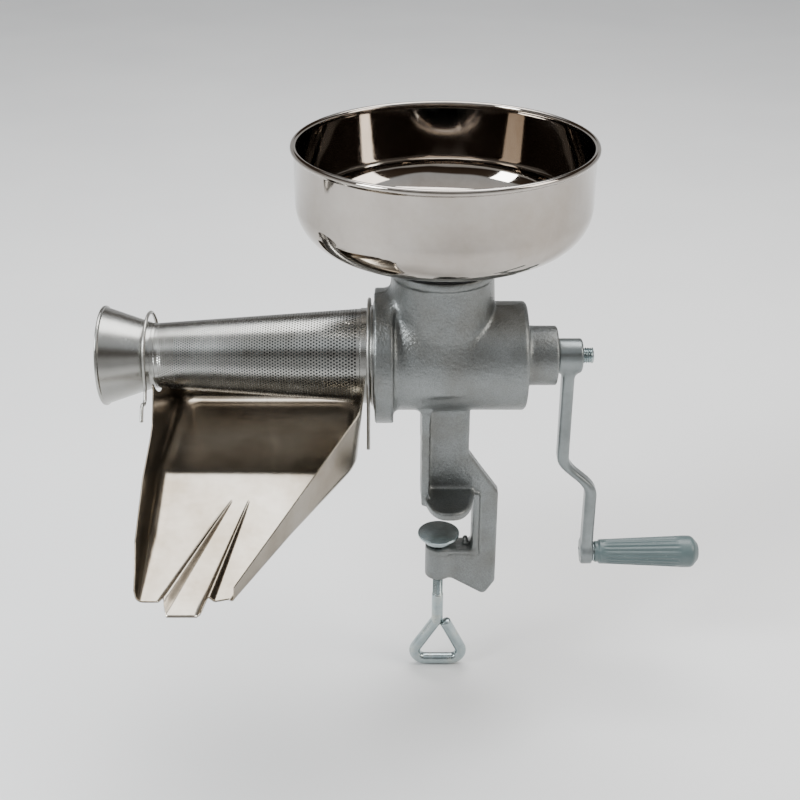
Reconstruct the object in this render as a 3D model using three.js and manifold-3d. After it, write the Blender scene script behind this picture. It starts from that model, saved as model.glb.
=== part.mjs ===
// Hand-crank fruit and tomato press, put together for use.
// Millimetres, +Z up. The origin is where the clamp screw's axis meets the underside of the
// upper jaw. The screw turns about X at AXIS_HEIGHT: the strainer points along -X, the crank
// is at +X, and the drip tray pours towards -Y.
import * as THREE from 'three';
import { mergeVertices } from 'three/addons/utils/BufferGeometryUtils.js';
import { ConvexGeometry } from 'three/addons/geometries/ConvexGeometry.js';
import Module from 'manifold-3d';

const wasm = await Module();
wasm.setup();

// ---- driving dimensions ----
const GAP = 0.3;                 // between pieces that touch
const ROUND = 32;                // sides of a large round piece
const SMALL_ROUND = 16;          // sides of a small round piece

const AXIS_HEIGHT = 140;         // auger axis above the upper jaw
const BARREL_WALL = 5.5;
const BARREL_FRONT = -58;        // front face of the flange
const BARREL_REAR = 73;
const COLLAR_ROOM = 2;            // chamber over the strainer's base
const REAR_WALL = 7;
const FLANGE_PROUD = 11.5;
const FLANGE_THICKNESS = 16;
const HUB_WALL = 16.75;          // over the shaft
const HUB_LENGTH = 27;
const THROAT_X = 0;
const THROAT_WALL = 5;
const THROAT_CLEARANCE = 1.5;    // round the hopper's neck
const THROAT_TOP = 85;           // throat rim above the auger axis
const THROAT_BAND = 7;
const THROAT_BAND_PROUD = 2.5;

const JAW_THICKNESS = 8;
const JAW_FRONT = -17;
const JAW_HALF_WIDTH = 50;
const WEB_THICKNESS = 13;
const LEG_REAR = 26;
const RIB_THICKNESS = 7;
const RIB_HALF_TOP = 30;
const RIB_HALF_FOOT = 24;
const SPINE_INNER = 31;
const SPINE_DEPTH = 23;
const JAW_OPENING = 57;
const SPINE_FLANGE = 6;
const SPINE_WIDTH = 23;
const BOSS_WALL = 7.6;           // over the clamp screw's thread
const BOSS_HEIGHT = 34;
const FRAME_DROP = 55;           // lower arm below the jaw opening, at its deepest

const THREAD_RADIUS = 4.9;
const THREAD_CLEARANCE = 0.4;
const ROD_PROUD = 0.6;           // rod over the thread
const THREAD_BELOW_BOSS = 25;
const SHANK_LENGTH = 30;
const LOOP_HEIGHT = 52;
const LOOP_HALF_WIDTH = 26;
const PAD_GAP = 0.7;             // under the open pad, to the lower arm
const PAD_FLANGE_RADIUS = 19.5;
const PAD_FLANGE = 2;
const PAD_DOME_RADIUS = 15.5;
const PAD_HEIGHT = 12.3;
const PAD_ROOF = 3;

const SHAFT_RADIUS = 9.25;
const SHAFT_CLEARANCE = 0.4;
const SQUARE_CLEARANCE = 0.5;
const SQUARE_LENGTH = 20;
const SHAFT_STEP = 2.25;         // from the shaft down to its thread
const SHAFT_TIP_PROUD = 10;
const BEARING_FLANGE_PROUD = 13;
const BEARING_FLANGE = 5;
const BEARING_WALL = 5.75;
const BEARING_BOSS_LENGTH = 22;
const SPRING_ROOM = 4;           // from the bearing's boss to the wire's centre
const SPRING_WIRE_RADIUS = 1.5;
const SPRING_LENGTH = 33;
const SPRING_TURNS = 4;

const CRANK_BOSS_WALL = 8;
const CRANK_BOSS_LENGTH = 22;
const CRANK_REACH = 206;
const HOPPER_TO_CRANK = 9.2;     // between the hopper's rim and the arm as it passes
const CRANK_WIDTH = 19;
const CRANK_THICKNESS = 11;
const CRANK_BEND_START = 98;
const CRANK_BEND_LENGTH = 45;
const CRANK_END_RADIUS = 11.5;
const GRIP_LENGTH = 98;
const GRIP_RADIUS_NEAR = 11.5;
const GRIP_RADIUS_FAR = 15;
const GRIP_BOLT_RADIUS = 4;
const GRIP_BOLT_HEAD = 6.5;
const GRIP_RECESS = 12;
const WASHER_THICKNESS = 1.5;
const WASHER_RADIUS = 9;

const STRAINER_BASE_RADIUS = 40;
const STRAINER_NECK_RADIUS = 27.5;
const STRAINER_LENGTH = 188;
const SHEET = 0.8;
const COLLAR_LENGTH = 24;
const COLLAR_INSIDE = 12;
const COLLAR_BEAD = 3;
const FUNNEL_LENGTH = 47;
const FUNNEL_RADIUS = 42;
const FUNNEL_BEAD = 1.4;

const AUGER_LENGTH = 290;
const AUGER_CLEARANCE = 1.4;
const AUGER_TIP_ROOM = 3.5;      // inside the strainer's neck
const AUGER_WALL = 6;
const AUGER_TIP_PLAIN = 20;
const AUGER_REAR_PLAIN = 8;
const AUGER_TIP_WALL = 6.5;
const SOCKET_ROOM = 1.5;         // outside the spring
const AUGER_SOCKET_DEPTH = 38;
const FIRST_PITCH = 17;
const LAST_PITCH = 46;
const PITCH_GROWTH = 2.8;
const STEPS_PER_TURN = 6;
const AUGER_SIDES = 24;

const TRAY_SHEET = 1.2;
const TRAY_FLOOR = -73;          // tray floor below the auger axis
const TRAY_BEFORE_FLANGE = 8.5;
const TRAY_LEFT_BEHIND_NECK = 3; // left wall past the end of the screen
const NOTCH_ROOM = 4;            // round the strainer, where the tray is cut out for it
const TRAY_BACK = 74;
const TRAY_FOLD = -76;
const TRAY_LIP = -205;
const TRAY_LIP_DROP = 39;
const TRAY_LIP_WIDTH = 76;
const TRAY_LEAN = 8;
const TRAY_BACK_LEAN = 17;
const TAB_WIDTH = 30;
const TAB_LENGTH = 15;
const WIRE_RADIUS = 1.5;
const WIRE_CLEARANCE = 2.2;

const HOPPER_SHEET = 1;
const HOPPER_RADIUS = 122;
const HOPPER_SHOULDER = 35;
const HOPPER_SLOPE = 22;         // degrees
const HOPPER_SIDE = 48;
const HOPPER_BEAD = 2.6;
const HOPPER_SEAT = 8.5;         // flat round the neck
const NECK_RADIUS = 36.5;
const NECK_LENGTH = 20;
const GASKET_THICKNESS = 2;

// ---- places that follow from the sizes above ----
const CHAMBER_RADIUS = STRAINER_BASE_RADIUS + COLLAR_ROOM;
const BARREL_RADIUS = CHAMBER_RADIUS + BARREL_WALL;
const FLANGE_RADIUS = BARREL_RADIUS + FLANGE_PROUD;
const HUB_RADIUS = SHAFT_RADIUS + HUB_WALL;
const THROAT_BORE = NECK_RADIUS + THROAT_CLEARANCE;
const THROAT_RADIUS = THROAT_BORE + THROAT_WALL;
const HOPPER_SEAT_RADIUS = NECK_RADIUS + HOPPER_SEAT;
const SQUARE_DRIVE = Math.SQRT2 * (SHAFT_RADIUS - 0.06);
const SHAFT_THREAD_RADIUS = SHAFT_RADIUS - SHAFT_STEP;
const CRANK_BOSS_RADIUS = SHAFT_THREAD_RADIUS + CRANK_BOSS_WALL;
const BEARING_BOSS_RADIUS = SHAFT_RADIUS + BEARING_WALL;
const BEARING_RADIUS = BEARING_BOSS_RADIUS + BEARING_FLANGE_PROUD;
const SPRING_RADIUS = BEARING_BOSS_RADIUS + SPRING_ROOM;
const AUGER_SOCKET_RADIUS = SPRING_RADIUS + SPRING_WIRE_RADIUS + SOCKET_ROOM;
const AUGER_CORE_REAR = AUGER_SOCKET_RADIUS + AUGER_WALL;
const AUGER_TIP_RADIUS = STRAINER_NECK_RADIUS - AUGER_TIP_ROOM;
const AUGER_BORE = AUGER_TIP_RADIUS - AUGER_TIP_WALL;
const TRAY_RIGHT = BARREL_FRONT - TRAY_BEFORE_FLANGE;
const REAR_WALL_INNER = BARREL_REAR - REAR_WALL;
const HUB_END = BARREL_REAR + HUB_LENGTH;
const BEARING_FACE = REAR_WALL_INNER - GAP - BEARING_FLANGE;
const AUGER_REAR = BEARING_FACE - GAP - 0.4;
const AUGER_TIP = AUGER_REAR - AUGER_LENGTH;
const SOCKET_FLOOR = AUGER_REAR - AUGER_SOCKET_DEPTH;
const CRANK_START = HUB_END + GAP;
const COLLAR_FRONT = BARREL_FRONT - (COLLAR_LENGTH - COLLAR_INSIDE);
const SCREEN_BASE = COLLAR_FRONT - GAP;
const SCREEN_END = BARREL_FRONT - STRAINER_LENGTH;
const FUNNEL_START = SCREEN_END - GAP;
const THROAT_RIM = AXIS_HEIGHT + THROAT_TOP;
const BOSS_TOP = -JAW_OPENING;
const BOSS_BOTTOM = BOSS_TOP - BOSS_HEIGHT;
const SPINE_OUTER = SPINE_INNER + SPINE_DEPTH;
const BOSS_RADIUS = THREAD_RADIUS + BOSS_WALL;
const ROD_RADIUS = THREAD_RADIUS + ROD_PROUD;
const THREAD_END = BOSS_BOTTOM - THREAD_BELOW_BOSS;
const LOOP_TOP = THREAD_END - SHANK_LENGTH;
const LOOP_BOTTOM = LOOP_TOP - LOOP_HEIGHT;
const PAD_TOP = BOSS_TOP + PAD_GAP + PAD_HEIGHT;

const CAST = { color: 0xa9adab, roughness: 0.5, metalness: 0.7 };
const STAINLESS = { color: 0xb5aea0, roughness: 0.2, metalness: 1 };
const ZINC = { color: 0xb9c4c6, roughness: 0.3, metalness: 1 };
const PLASTIC = { color: 0x6f8385, roughness: 0.45, metalness: 0 };
const NYLON = { color: 0xe9dfb4, roughness: 0.5, metalness: 0 };
const RUBBER = { color: 0x1b1b1c, roughness: 0.6, metalness: 0 };

// ---- solids ----
function signedVolume(position, index) {
  const corner = (vertex) => new THREE.Vector3().fromArray(position, 3 * vertex);
  let sixth = 0;
  for (let i = 0; i < index.length; i += 3) {
    const cross = corner(index[i + 1]).cross(corner(index[i + 2]));
    sixth += corner(index[i]).dot(cross);
  }
  return sixth / 6;
}

// A closed three.js geometry as a solid: seams joined, flat triangles dropped, faces out.
function solid(geometry) {
  const bare = geometry.clone();
  bare.deleteAttribute('normal');
  bare.deleteAttribute('uv');
  const joined = mergeVertices(bare, 1e-4);
  const index = [];
  const all = joined.getIndex().array;
  for (let i = 0; i < all.length; i += 3) {
    const [a, b, c] = [all[i], all[i + 1], all[i + 2]];
    if (a !== b && b !== c && a !== c) index.push(a, b, c);
  }
  const position = Float32Array.from(joined.getAttribute('position').array);
  if (signedVolume(position, index) < 0) {
    for (let i = 0; i < index.length; i += 3) {
      [index[i + 1], index[i + 2]] = [index[i + 2], index[i + 1]];
    }
  }
  const triVerts = Uint32Array.from(index);
  return new wasm.Manifold(new wasm.Mesh({ numProp: 3, vertProperties: position, triVerts }));
}

const union = (...solids) => solids.reduce((sum, piece) => sum.add(piece));
const cut = (base, ...tools) => tools.reduce((rest, tool) => rest.subtract(tool), base);

function mesh(name, body, look) {
  const { vertProperties, triVerts } = body.getMesh();
  const geometry = new THREE.BufferGeometry();
  geometry.setAttribute('position', new THREE.BufferAttribute(vertProperties, 3));
  geometry.setIndex(new THREE.BufferAttribute(triVerts, 1));
  geometry.computeVertexNormals();
  const made = new THREE.Mesh(geometry, new THREE.MeshStandardMaterial(look));
  made.name = name;
  return made;
}

// Turned pieces: the profile is [radius, height] pairs about the Y axis.
function turned(profile, sides = ROUND) {
  const points = profile.map(([radius, height]) => new THREE.Vector2(radius, height));
  return new THREE.LatheGeometry(points, sides);
}

// A tube profile, closed on itself, from inner and outer [radius, height] lines.
function ringProfile(inner, outer) {
  return [...inner, ...[...outer].reverse(), inner[0]];
}

const rod = (radius, from, to, sides = ROUND) =>
  turned([[0, from], [radius, from], [radius, to], [0, to]], sides);

// Turned geometry laid along the auger axis, or stood along Z at (x, y).
const onAxis = (geometry) => geometry.rotateZ(-Math.PI / 2).translate(0, 0, AXIS_HEIGHT);
const upright = (geometry, x = 0, y = 0) => geometry.rotateX(Math.PI / 2).translate(x, y, 0);

function outline(points) {
  return new THREE.Shape(points.map(([a, b]) => new THREE.Vector2(a, b)));
}

// An outline in X and Z, extruded along Y and centred on y.
function plateXZ(points, thickness, y = 0) {
  const geometry = new THREE.ExtrudeGeometry(outline(points), { depth: thickness, bevelEnabled: false });
  return geometry.rotateX(Math.PI / 2).translate(0, y + thickness / 2, 0);
}

// An outline in Y and Z, extruded along X from x.
function plateYZ(points, from, to) {
  const flat = outline(points);
  const geometry = new THREE.ExtrudeGeometry(flat, { depth: to - from, bevelEnabled: false });
  return geometry.rotateX(Math.PI / 2).rotateZ(Math.PI / 2).translate(from, 0, 0);
}

function block([x0, y0, z0], [x1, y1, z1]) {
  const geometry = new THREE.BoxGeometry(x1 - x0, y1 - y0, z1 - z0);
  return geometry.translate((x0 + x1) / 2, (y0 + y1) / 2, (z0 + z1) / 2);
}

// A round wire along a smooth curve.
function wire(points, radius, steps, sides = 8) {
  const path = new THREE.CatmullRomCurve3(points.map((p) => new THREE.Vector3(...p)), false, 'centripetal');
  const corners = [];
  for (let i = 0; i < sides; i++) {
    const angle = (2 * Math.PI * i) / sides;
    corners.push([radius * Math.cos(angle), radius * Math.sin(angle)]);
  }
  return new THREE.ExtrudeGeometry(outline(corners), { extrudePath: path, steps, bevelEnabled: false });
}

// Points round part of a circle in the plane x = const, angles in degrees from +Y towards +Z.
function arcYZ(x, radius, from, to, count) {
  const points = [];
  for (let i = 0; i <= count; i++) {
    const angle = THREE.MathUtils.degToRad(from + ((to - from) * i) / count);
    points.push([x, radius * Math.cos(angle), AXIS_HEIGHT + radius * Math.sin(angle)]);
  }
  return points;
}

// ---- body casting ----
function jawPlate() {
  const power = 2 / 2.6;
  const centre = (JAW_FRONT + 2.5 + SPINE_INNER) / 2;
  const halfDepth = (SPINE_INNER - JAW_FRONT - 2.5) / 2;
  const points = [];
  const count = 28;
  for (let i = 0; i < count; i++) {
    const angle = (2 * Math.PI * i) / count;
    const [c, s] = [Math.cos(angle), Math.sin(angle)];
    const x = centre + halfDepth * Math.sign(c) * Math.abs(c) ** power;
    points.push([x, JAW_HALF_WIDTH * Math.sign(s) * Math.abs(s) ** power]);
  }
  return new THREE.ExtrudeGeometry(outline(points), { depth: JAW_THICKNESS, bevelEnabled: false });
}

function clampFrame() {
  const barrelFoot = AXIS_HEIGHT - BARREL_RADIUS + 8;
  const armBottom = -JAW_OPENING - FRAME_DROP;
  const web = [
    [JAW_FRONT, barrelFoot], [JAW_FRONT, 1], [SPINE_INNER, 1], [SPINE_INNER, BOSS_TOP],
    [BOSS_RADIUS / 2, BOSS_TOP], [BOSS_RADIUS / 2, BOSS_BOTTOM], [BOSS_RADIUS, BOSS_BOTTOM],
    [SPINE_OUTER - 8, armBottom], [SPINE_OUTER, armBottom + 17], [SPINE_OUTER, 2],
    [SPINE_OUTER - 7, 14], [SPINE_OUTER - 18, 30], [LEG_REAR, 46], [LEG_REAR, barrelFoot],
  ];
  const rib = [
    [-RIB_HALF_FOOT, 1], [RIB_HALF_FOOT, 1], [RIB_HALF_TOP, barrelFoot], [-RIB_HALF_TOP, barrelFoot],
  ];
  const half = SPINE_WIDTH / 2;
  const spineFace = block([SPINE_INNER, -half, BOSS_TOP - SPINE_FLANGE], [SPINE_INNER + SPINE_FLANGE, half, 4]);
  const armFace = block([0, -half, BOSS_TOP - SPINE_FLANGE], [SPINE_INNER + 1, half, BOSS_TOP]);
  const boss = upright(rod(BOSS_RADIUS, BOSS_BOTTOM, BOSS_TOP, 24));
  return union(
    solid(plateXZ(web, WEB_THICKNESS)),
    solid(plateYZ(rib, JAW_FRONT, JAW_FRONT + RIB_THICKNESS)),
    solid(jawPlate()), solid(spineFace), solid(armFace), solid(boss),
  );
}

function bodyCasting() {
  const flangeBack = BARREL_FRONT + FLANGE_THICKNESS;
  const barrel = [
    [0, BARREL_FRONT], [FLANGE_RADIUS, BARREL_FRONT], [FLANGE_RADIUS, flangeBack],
    [BARREL_RADIUS, flangeBack], [BARREL_RADIUS, BARREL_REAR - 6], [BARREL_RADIUS - 6, BARREL_REAR],
    [HUB_RADIUS, BARREL_REAR], [HUB_RADIUS, HUB_END - 2], [HUB_RADIUS - 2, HUB_END], [0, HUB_END],
  ];
  const band = THROAT_RADIUS + THROAT_BAND_PROUD;
  const throat = [
    [0, AXIS_HEIGHT], [BARREL_RADIUS, AXIS_HEIGHT], [BARREL_RADIUS, AXIS_HEIGHT + 22],
    [THROAT_RADIUS, AXIS_HEIGHT + 46], [THROAT_RADIUS, THROAT_RIM - THROAT_BAND - 2],
    [band, THROAT_RIM - THROAT_BAND], [band, THROAT_RIM], [0, THROAT_RIM],
  ];
  const outer = union(solid(onAxis(turned(barrel))), solid(upright(turned(throat), THROAT_X)), clampFrame());
  const screwHole = THREAD_RADIUS + THREAD_CLEARANCE;
  return cut(
    outer,
    solid(onAxis(rod(CHAMBER_RADIUS, BARREL_FRONT - 1, REAR_WALL_INNER))),
    solid(onAxis(rod(SHAFT_RADIUS + SHAFT_CLEARANCE, REAR_WALL_INNER - 1, HUB_END + 1, 24))),
    solid(upright(rod(THROAT_BORE, AXIS_HEIGHT, THROAT_RIM + 1), THROAT_X)),
    solid(upright(rod(screwHole, BOSS_BOTTOM - 1, BOSS_TOP + 1, SMALL_ROUND))),
  );
}

// ---- drive ----
function driveShaft() {
  const threadStart = HUB_END;
  const tip = CRANK_START + CRANK_BOSS_LENGTH + SHAFT_TIP_PROUD;
  const profile = [
    [0, SOCKET_FLOOR + 1], [SHAFT_RADIUS, SOCKET_FLOOR + 1], [SHAFT_RADIUS, threadStart],
    [SHAFT_THREAD_RADIUS, threadStart], [SHAFT_THREAD_RADIUS, tip - 1.5],
    [SHAFT_THREAD_RADIUS - 1.5, tip], [0, tip],
  ];
  const half = SQUARE_DRIVE / 2;
  const square = block([-half, SOCKET_FLOOR - SQUARE_LENGTH, -half], [half, SOCKET_FLOOR + 2, half]);
  return union(solid(turned(profile, 24)), solid(square));
}

function thrustBearing() {
  const bore = SHAFT_RADIUS + SHAFT_CLEARANCE;
  const bossEnd = BEARING_FACE - BEARING_BOSS_LENGTH;
  const back = BEARING_FACE + BEARING_FLANGE;
  const inner = [[bore, bossEnd], [bore, back]];
  const outer = [
    [BEARING_BOSS_RADIUS, bossEnd], [BEARING_BOSS_RADIUS, BEARING_FACE],
    [BEARING_RADIUS, BEARING_FACE], [BEARING_RADIUS, back],
  ];
  return solid(turned(ringProfile(inner, outer), 24));
}

function thrustSpring() {
  const stepsPerTurn = 12;
  const points = [];
  const first = BEARING_FACE - SPRING_WIRE_RADIUS - GAP;
  const travel = SPRING_LENGTH - 2 * SPRING_WIRE_RADIUS;
  for (let i = 0; i <= SPRING_TURNS * stepsPerTurn; i++) {
    const angle = (2 * Math.PI * i) / stepsPerTurn;
    const along = first - (travel * i) / (SPRING_TURNS * stepsPerTurn);
    points.push([SPRING_RADIUS * Math.cos(angle), along, SPRING_RADIUS * Math.sin(angle)]);
  }
  return solid(wire(points, SPRING_WIRE_RADIUS, points.length - 1, 5));
}

// ---- crank: an arm hanging from the shaft, stepped outwards on its way to the grip ----
const CRANK_MID = CRANK_START + CRANK_BOSS_LENGTH / 2;
const CRANK_END_Z = AXIS_HEIGHT - CRANK_REACH;
const ARM_X = THROAT_X + HOPPER_RADIUS + HOPPER_BEAD + HOPPER_TO_CRANK + CRANK_THICKNESS / 2;

function armCentre(distance) {
  const share = THREE.MathUtils.clamp((distance - CRANK_BEND_START) / CRANK_BEND_LENGTH, 0, 1);
  return THREE.MathUtils.lerp(CRANK_MID, ARM_X, THREE.MathUtils.smootherstep(share, 0, 1));
}

function alongX(geometry, z) {
  return geometry.rotateZ(-Math.PI / 2).translate(0, 0, z);
}

function crankArm() {
  const inner = [];
  const outer = [];
  const steps = 20;
  for (let i = 0; i <= steps; i++) {
    const distance = (CRANK_REACH * i) / steps;
    const centre = armCentre(distance);
    inner.push([centre - CRANK_THICKNESS / 2, AXIS_HEIGHT - distance]);
    outer.push([centre + CRANK_THICKNESS / 2, AXIS_HEIGHT - distance]);
  }
  const arm = plateXZ([...inner, ...outer.reverse()], CRANK_WIDTH);
  const hub = alongX(rod(CRANK_BOSS_RADIUS, CRANK_START, CRANK_START + CRANK_BOSS_LENGTH, 24), AXIS_HEIGHT);
  const half = CRANK_THICKNESS / 2;
  const end = alongX(rod(CRANK_END_RADIUS, ARM_X - half, ARM_X + half, 24), CRANK_END_Z);
  const threadHole = SHAFT_THREAD_RADIUS + GAP;
  const hubHole = alongX(rod(threadHole, CRANK_START - 1, HUB_END + CRANK_BOSS_LENGTH + 2, SMALL_ROUND), AXIS_HEIGHT);
  const boltHole = alongX(rod(GRIP_BOLT_RADIUS + GAP, ARM_X - 9, ARM_X + 9, SMALL_ROUND), CRANK_END_Z);
  return cut(union(solid(arm), solid(hub), solid(end)), solid(hubHole), solid(boltHole));
}

const GRIP_START = ARM_X + CRANK_THICKNESS / 2 + WASHER_THICKNESS + 2 * GAP;
const GRIP_END = GRIP_START + GRIP_LENGTH;

function gripWasher() {
  const from = ARM_X + CRANK_THICKNESS / 2 + GAP;
  const bore = GRIP_BOLT_RADIUS + GAP;
  const inner = [[bore, from], [bore, from + WASHER_THICKNESS]];
  const outer = [[WASHER_RADIUS, from], [WASHER_RADIUS, from + WASHER_THICKNESS]];
  return solid(alongX(turned(ringProfile(inner, outer), SMALL_ROUND), CRANK_END_Z));
}

function grip() {
  const bore = GRIP_BOLT_RADIUS + GAP;
  const recess = GRIP_BOLT_HEAD + GAP;
  const seat = GRIP_END - GRIP_RECESS;
  const inner = [[bore, GRIP_START], [bore, seat], [recess, seat], [recess, GRIP_END]];
  const outer = [
    [GRIP_RADIUS_NEAR, GRIP_START], [GRIP_RADIUS_FAR, GRIP_END - 14],
    [GRIP_RADIUS_FAR - 2, GRIP_END - 4], [GRIP_RADIUS_FAR - 6, GRIP_END],
  ];
  return solid(alongX(turned(ringProfile(inner, outer), 24), CRANK_END_Z));
}

function gripBolt() {
  const seat = GRIP_END - GRIP_RECESS + GAP;
  const profile = [
    [0, ARM_X - CRANK_THICKNESS / 2], [GRIP_BOLT_RADIUS, ARM_X - CRANK_THICKNESS / 2],
    [GRIP_BOLT_RADIUS, seat], [GRIP_BOLT_HEAD, seat], [GRIP_BOLT_HEAD, seat + 4], [0, seat + 4],
  ];
  return solid(alongX(turned(profile, SMALL_ROUND), CRANK_END_Z));
}

// ---- auger and strainer, both about the auger axis ----
function screenRadius(along) {
  const share = (SCREEN_BASE - along) / (SCREEN_BASE - SCREEN_END);
  return THREE.MathUtils.lerp(STRAINER_BASE_RADIUS, STRAINER_NECK_RADIUS, Math.max(share, 0));
}

function augerCore(along) {
  const share = (along - AUGER_TIP) / AUGER_LENGTH;
  return THREE.MathUtils.lerp(AUGER_TIP_RADIUS, AUGER_CORE_REAR, share);
}

// Flight crests lie where the turn count less the angle is a whole number: a left-hand screw.
function auger() {
  const from = AUGER_TIP + AUGER_TIP_PLAIN;
  const to = AUGER_REAR - AUGER_REAR_PLAIN;
  const stations = [{ along: AUGER_TIP, turns: 0 }, { along: from, turns: 0 }];
  let along = from;
  let turns = 0;
  while (along < to) {
    const share = (along - from) / (to - from);
    const pitch = FIRST_PITCH + (LAST_PITCH - FIRST_PITCH) * share ** PITCH_GROWTH;
    along = Math.min(along + pitch / STEPS_PER_TURN, to);
    turns += 1 / STEPS_PER_TURN;
    stations.push({ along, turns });
  }
  stations.push({ along: AUGER_REAR, turns });
  const bore = [[0, SOCKET_FLOOR - SQUARE_LENGTH - 6], [AUGER_BORE, SOCKET_FLOOR - SQUARE_LENGTH - 6],
    [AUGER_BORE, AUGER_TIP]];
  const outer = stations.map((station) => [augerCore(station.along), station.along]);
  const socket = [[AUGER_SOCKET_RADIUS, AUGER_REAR], [AUGER_SOCKET_RADIUS, SOCKET_FLOOR], [0, SOCKET_FLOOR]];
  const profile = [...bore, ...outer, ...socket];
  const geometry = turned(profile, AUGER_SIDES);
  const position = geometry.getAttribute('position');
  for (let side = 0; side <= AUGER_SIDES; side++) {
    for (let i = 2; i < stations.length - 2; i++) {
      const at = side * profile.length + bore.length + i;
      const station = stations[i];
      const phase = station.turns + (side % AUGER_SIDES) / AUGER_SIDES;
      const crest = (0.5 - 0.5 * Math.cos(2 * Math.PI * phase)) ** 3;
      const core = augerCore(station.along);
      const edge = Math.min(screenRadius(station.along), STRAINER_BASE_RADIUS) - AUGER_CLEARANCE;
      const scale = (core + (edge - core) * crest) / core;
      position.setX(at, position.getX(at) * scale);
      position.setZ(at, position.getZ(at) * scale);
    }
  }
  const half = (SQUARE_DRIVE + SQUARE_CLEARANCE) / 2;
  const square = block([-half, SOCKET_FLOOR - SQUARE_LENGTH - 8, -half], [half, SOCKET_FLOOR + 1, half]);
  return cut(solid(geometry), solid(square));
}

function strainerCollar() {
  const bore = STRAINER_BASE_RADIUS + GAP;
  const rear = BARREL_FRONT + COLLAR_INSIDE;
  const slip = CHAMBER_RADIUS - GAP - 0.2;
  const beadBack = BARREL_FRONT - GAP;
  const beadFront = beadBack - COLLAR_BEAD;
  const bead = CHAMBER_RADIUS + 2;
  const inner = [[bore, COLLAR_FRONT], [bore, rear]];
  const outer = [
    [slip, COLLAR_FRONT], [slip, beadFront], [bead, beadFront], [bead, beadBack], [slip, beadBack], [slip, rear],
  ];
  return solid(turned(ringProfile(inner, outer), 48));
}

function strainerScreen() {
  const inner = [[STRAINER_NECK_RADIUS, SCREEN_END], [STRAINER_BASE_RADIUS, SCREEN_BASE]];
  const outer = inner.map(([radius, along]) => [radius + SHEET, along]);
  return solid(turned(ringProfile(inner, outer), 48));
}

function strainerFunnel() {
  const end = FUNNEL_START - FUNNEL_LENGTH;
  const lip = end + 2 * FUNNEL_BEAD;
  const inner = [[FUNNEL_RADIUS - SHEET, end], [FUNNEL_RADIUS - SHEET, lip], [STRAINER_NECK_RADIUS, FUNNEL_START]];
  const outer = [
    [FUNNEL_RADIUS + FUNNEL_BEAD, end], [FUNNEL_RADIUS + FUNNEL_BEAD, lip], [FUNNEL_RADIUS, lip],
    [STRAINER_NECK_RADIUS + SHEET, FUNNEL_START],
  ];
  return solid(turned(ringProfile(inner, outer), 48));
}

// ---- drip tray: a pressed sheet under the strainer, narrowing to a spout ----
const TRAY_LEFT = SCREEN_END - TRAY_LEFT_BEHIND_NECK;
const FLOOR_Z = AXIS_HEIGHT + TRAY_FLOOR;
const LIP_Z = FLOOR_Z - TRAY_LIP_DROP;

// The hollow of the tray, or with proud > 0 the outside of its sheet: two hulls that meet at
// the fold, one under the strainer and one running down to the lip.
function trayHulls(proud, top) {
  const left = TRAY_LEFT - proud;
  const right = TRAY_RIGHT + proud;
  const floor = FLOOR_Z - proud;
  const lipY = TRAY_LIP - (proud > 0 ? 0 : 1);
  const section = (y, leftX, rightX, low, high, lean) => [
    [leftX + lean, y, low], [rightX - lean, y, low], [rightX, y, high], [leftX, y, high],
  ];
  const back = [
    [left + TRAY_LEAN, TRAY_BACK - TRAY_BACK_LEAN + proud, floor],
    [right - TRAY_LEAN, TRAY_BACK - TRAY_BACK_LEAN + proud, floor],
    [right, TRAY_BACK + proud, top], [left, TRAY_BACK + proud, top],
  ];
  const fold = section(TRAY_FOLD, left, right, floor, top, TRAY_LEAN);
  const lipRight = TRAY_LEFT + TRAY_LEAN + TRAY_LIP_WIDTH + TRAY_LEAN + proud;
  const lip = section(lipY, left, lipRight, LIP_Z - proud, LIP_Z + 30, TRAY_LEAN);
  const hull = (points) => solid(new ConvexGeometry(points.map((p) => new THREE.Vector3(...p))));
  return union(hull([...back, ...fold]), hull([...fold, ...lip]));
}

function notchOutline(radius, bottom, high) {
  const points = [];
  const count = 14;
  for (let i = 0; i <= count; i++) {
    const angle = Math.PI + (Math.PI * i) / count;
    points.push([radius * Math.cos(angle), bottom + radius * Math.sin(angle)]);
  }
  return [...points, [radius, high], [-radius, high]];
}

const LEFT_NOTCH = STRAINER_NECK_RADIUS + NOTCH_ROOM;
const RIGHT_NOTCH = STRAINER_BASE_RADIUS + NOTCH_ROOM;
const LEFT_WIRE_X = TRAY_LEFT - TRAY_SHEET - WIRE_RADIUS - 1;
const RIGHT_WIRE_X = TRAY_RIGHT + TRAY_SHEET + WIRE_RADIUS + 1;
const LEFT_PIVOT = [LEFT_NOTCH + 15.5, AXIS_HEIGHT - 24];
const RIGHT_PIVOT = [RIGHT_NOTCH + 18, AXIS_HEIGHT - 14];

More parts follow.
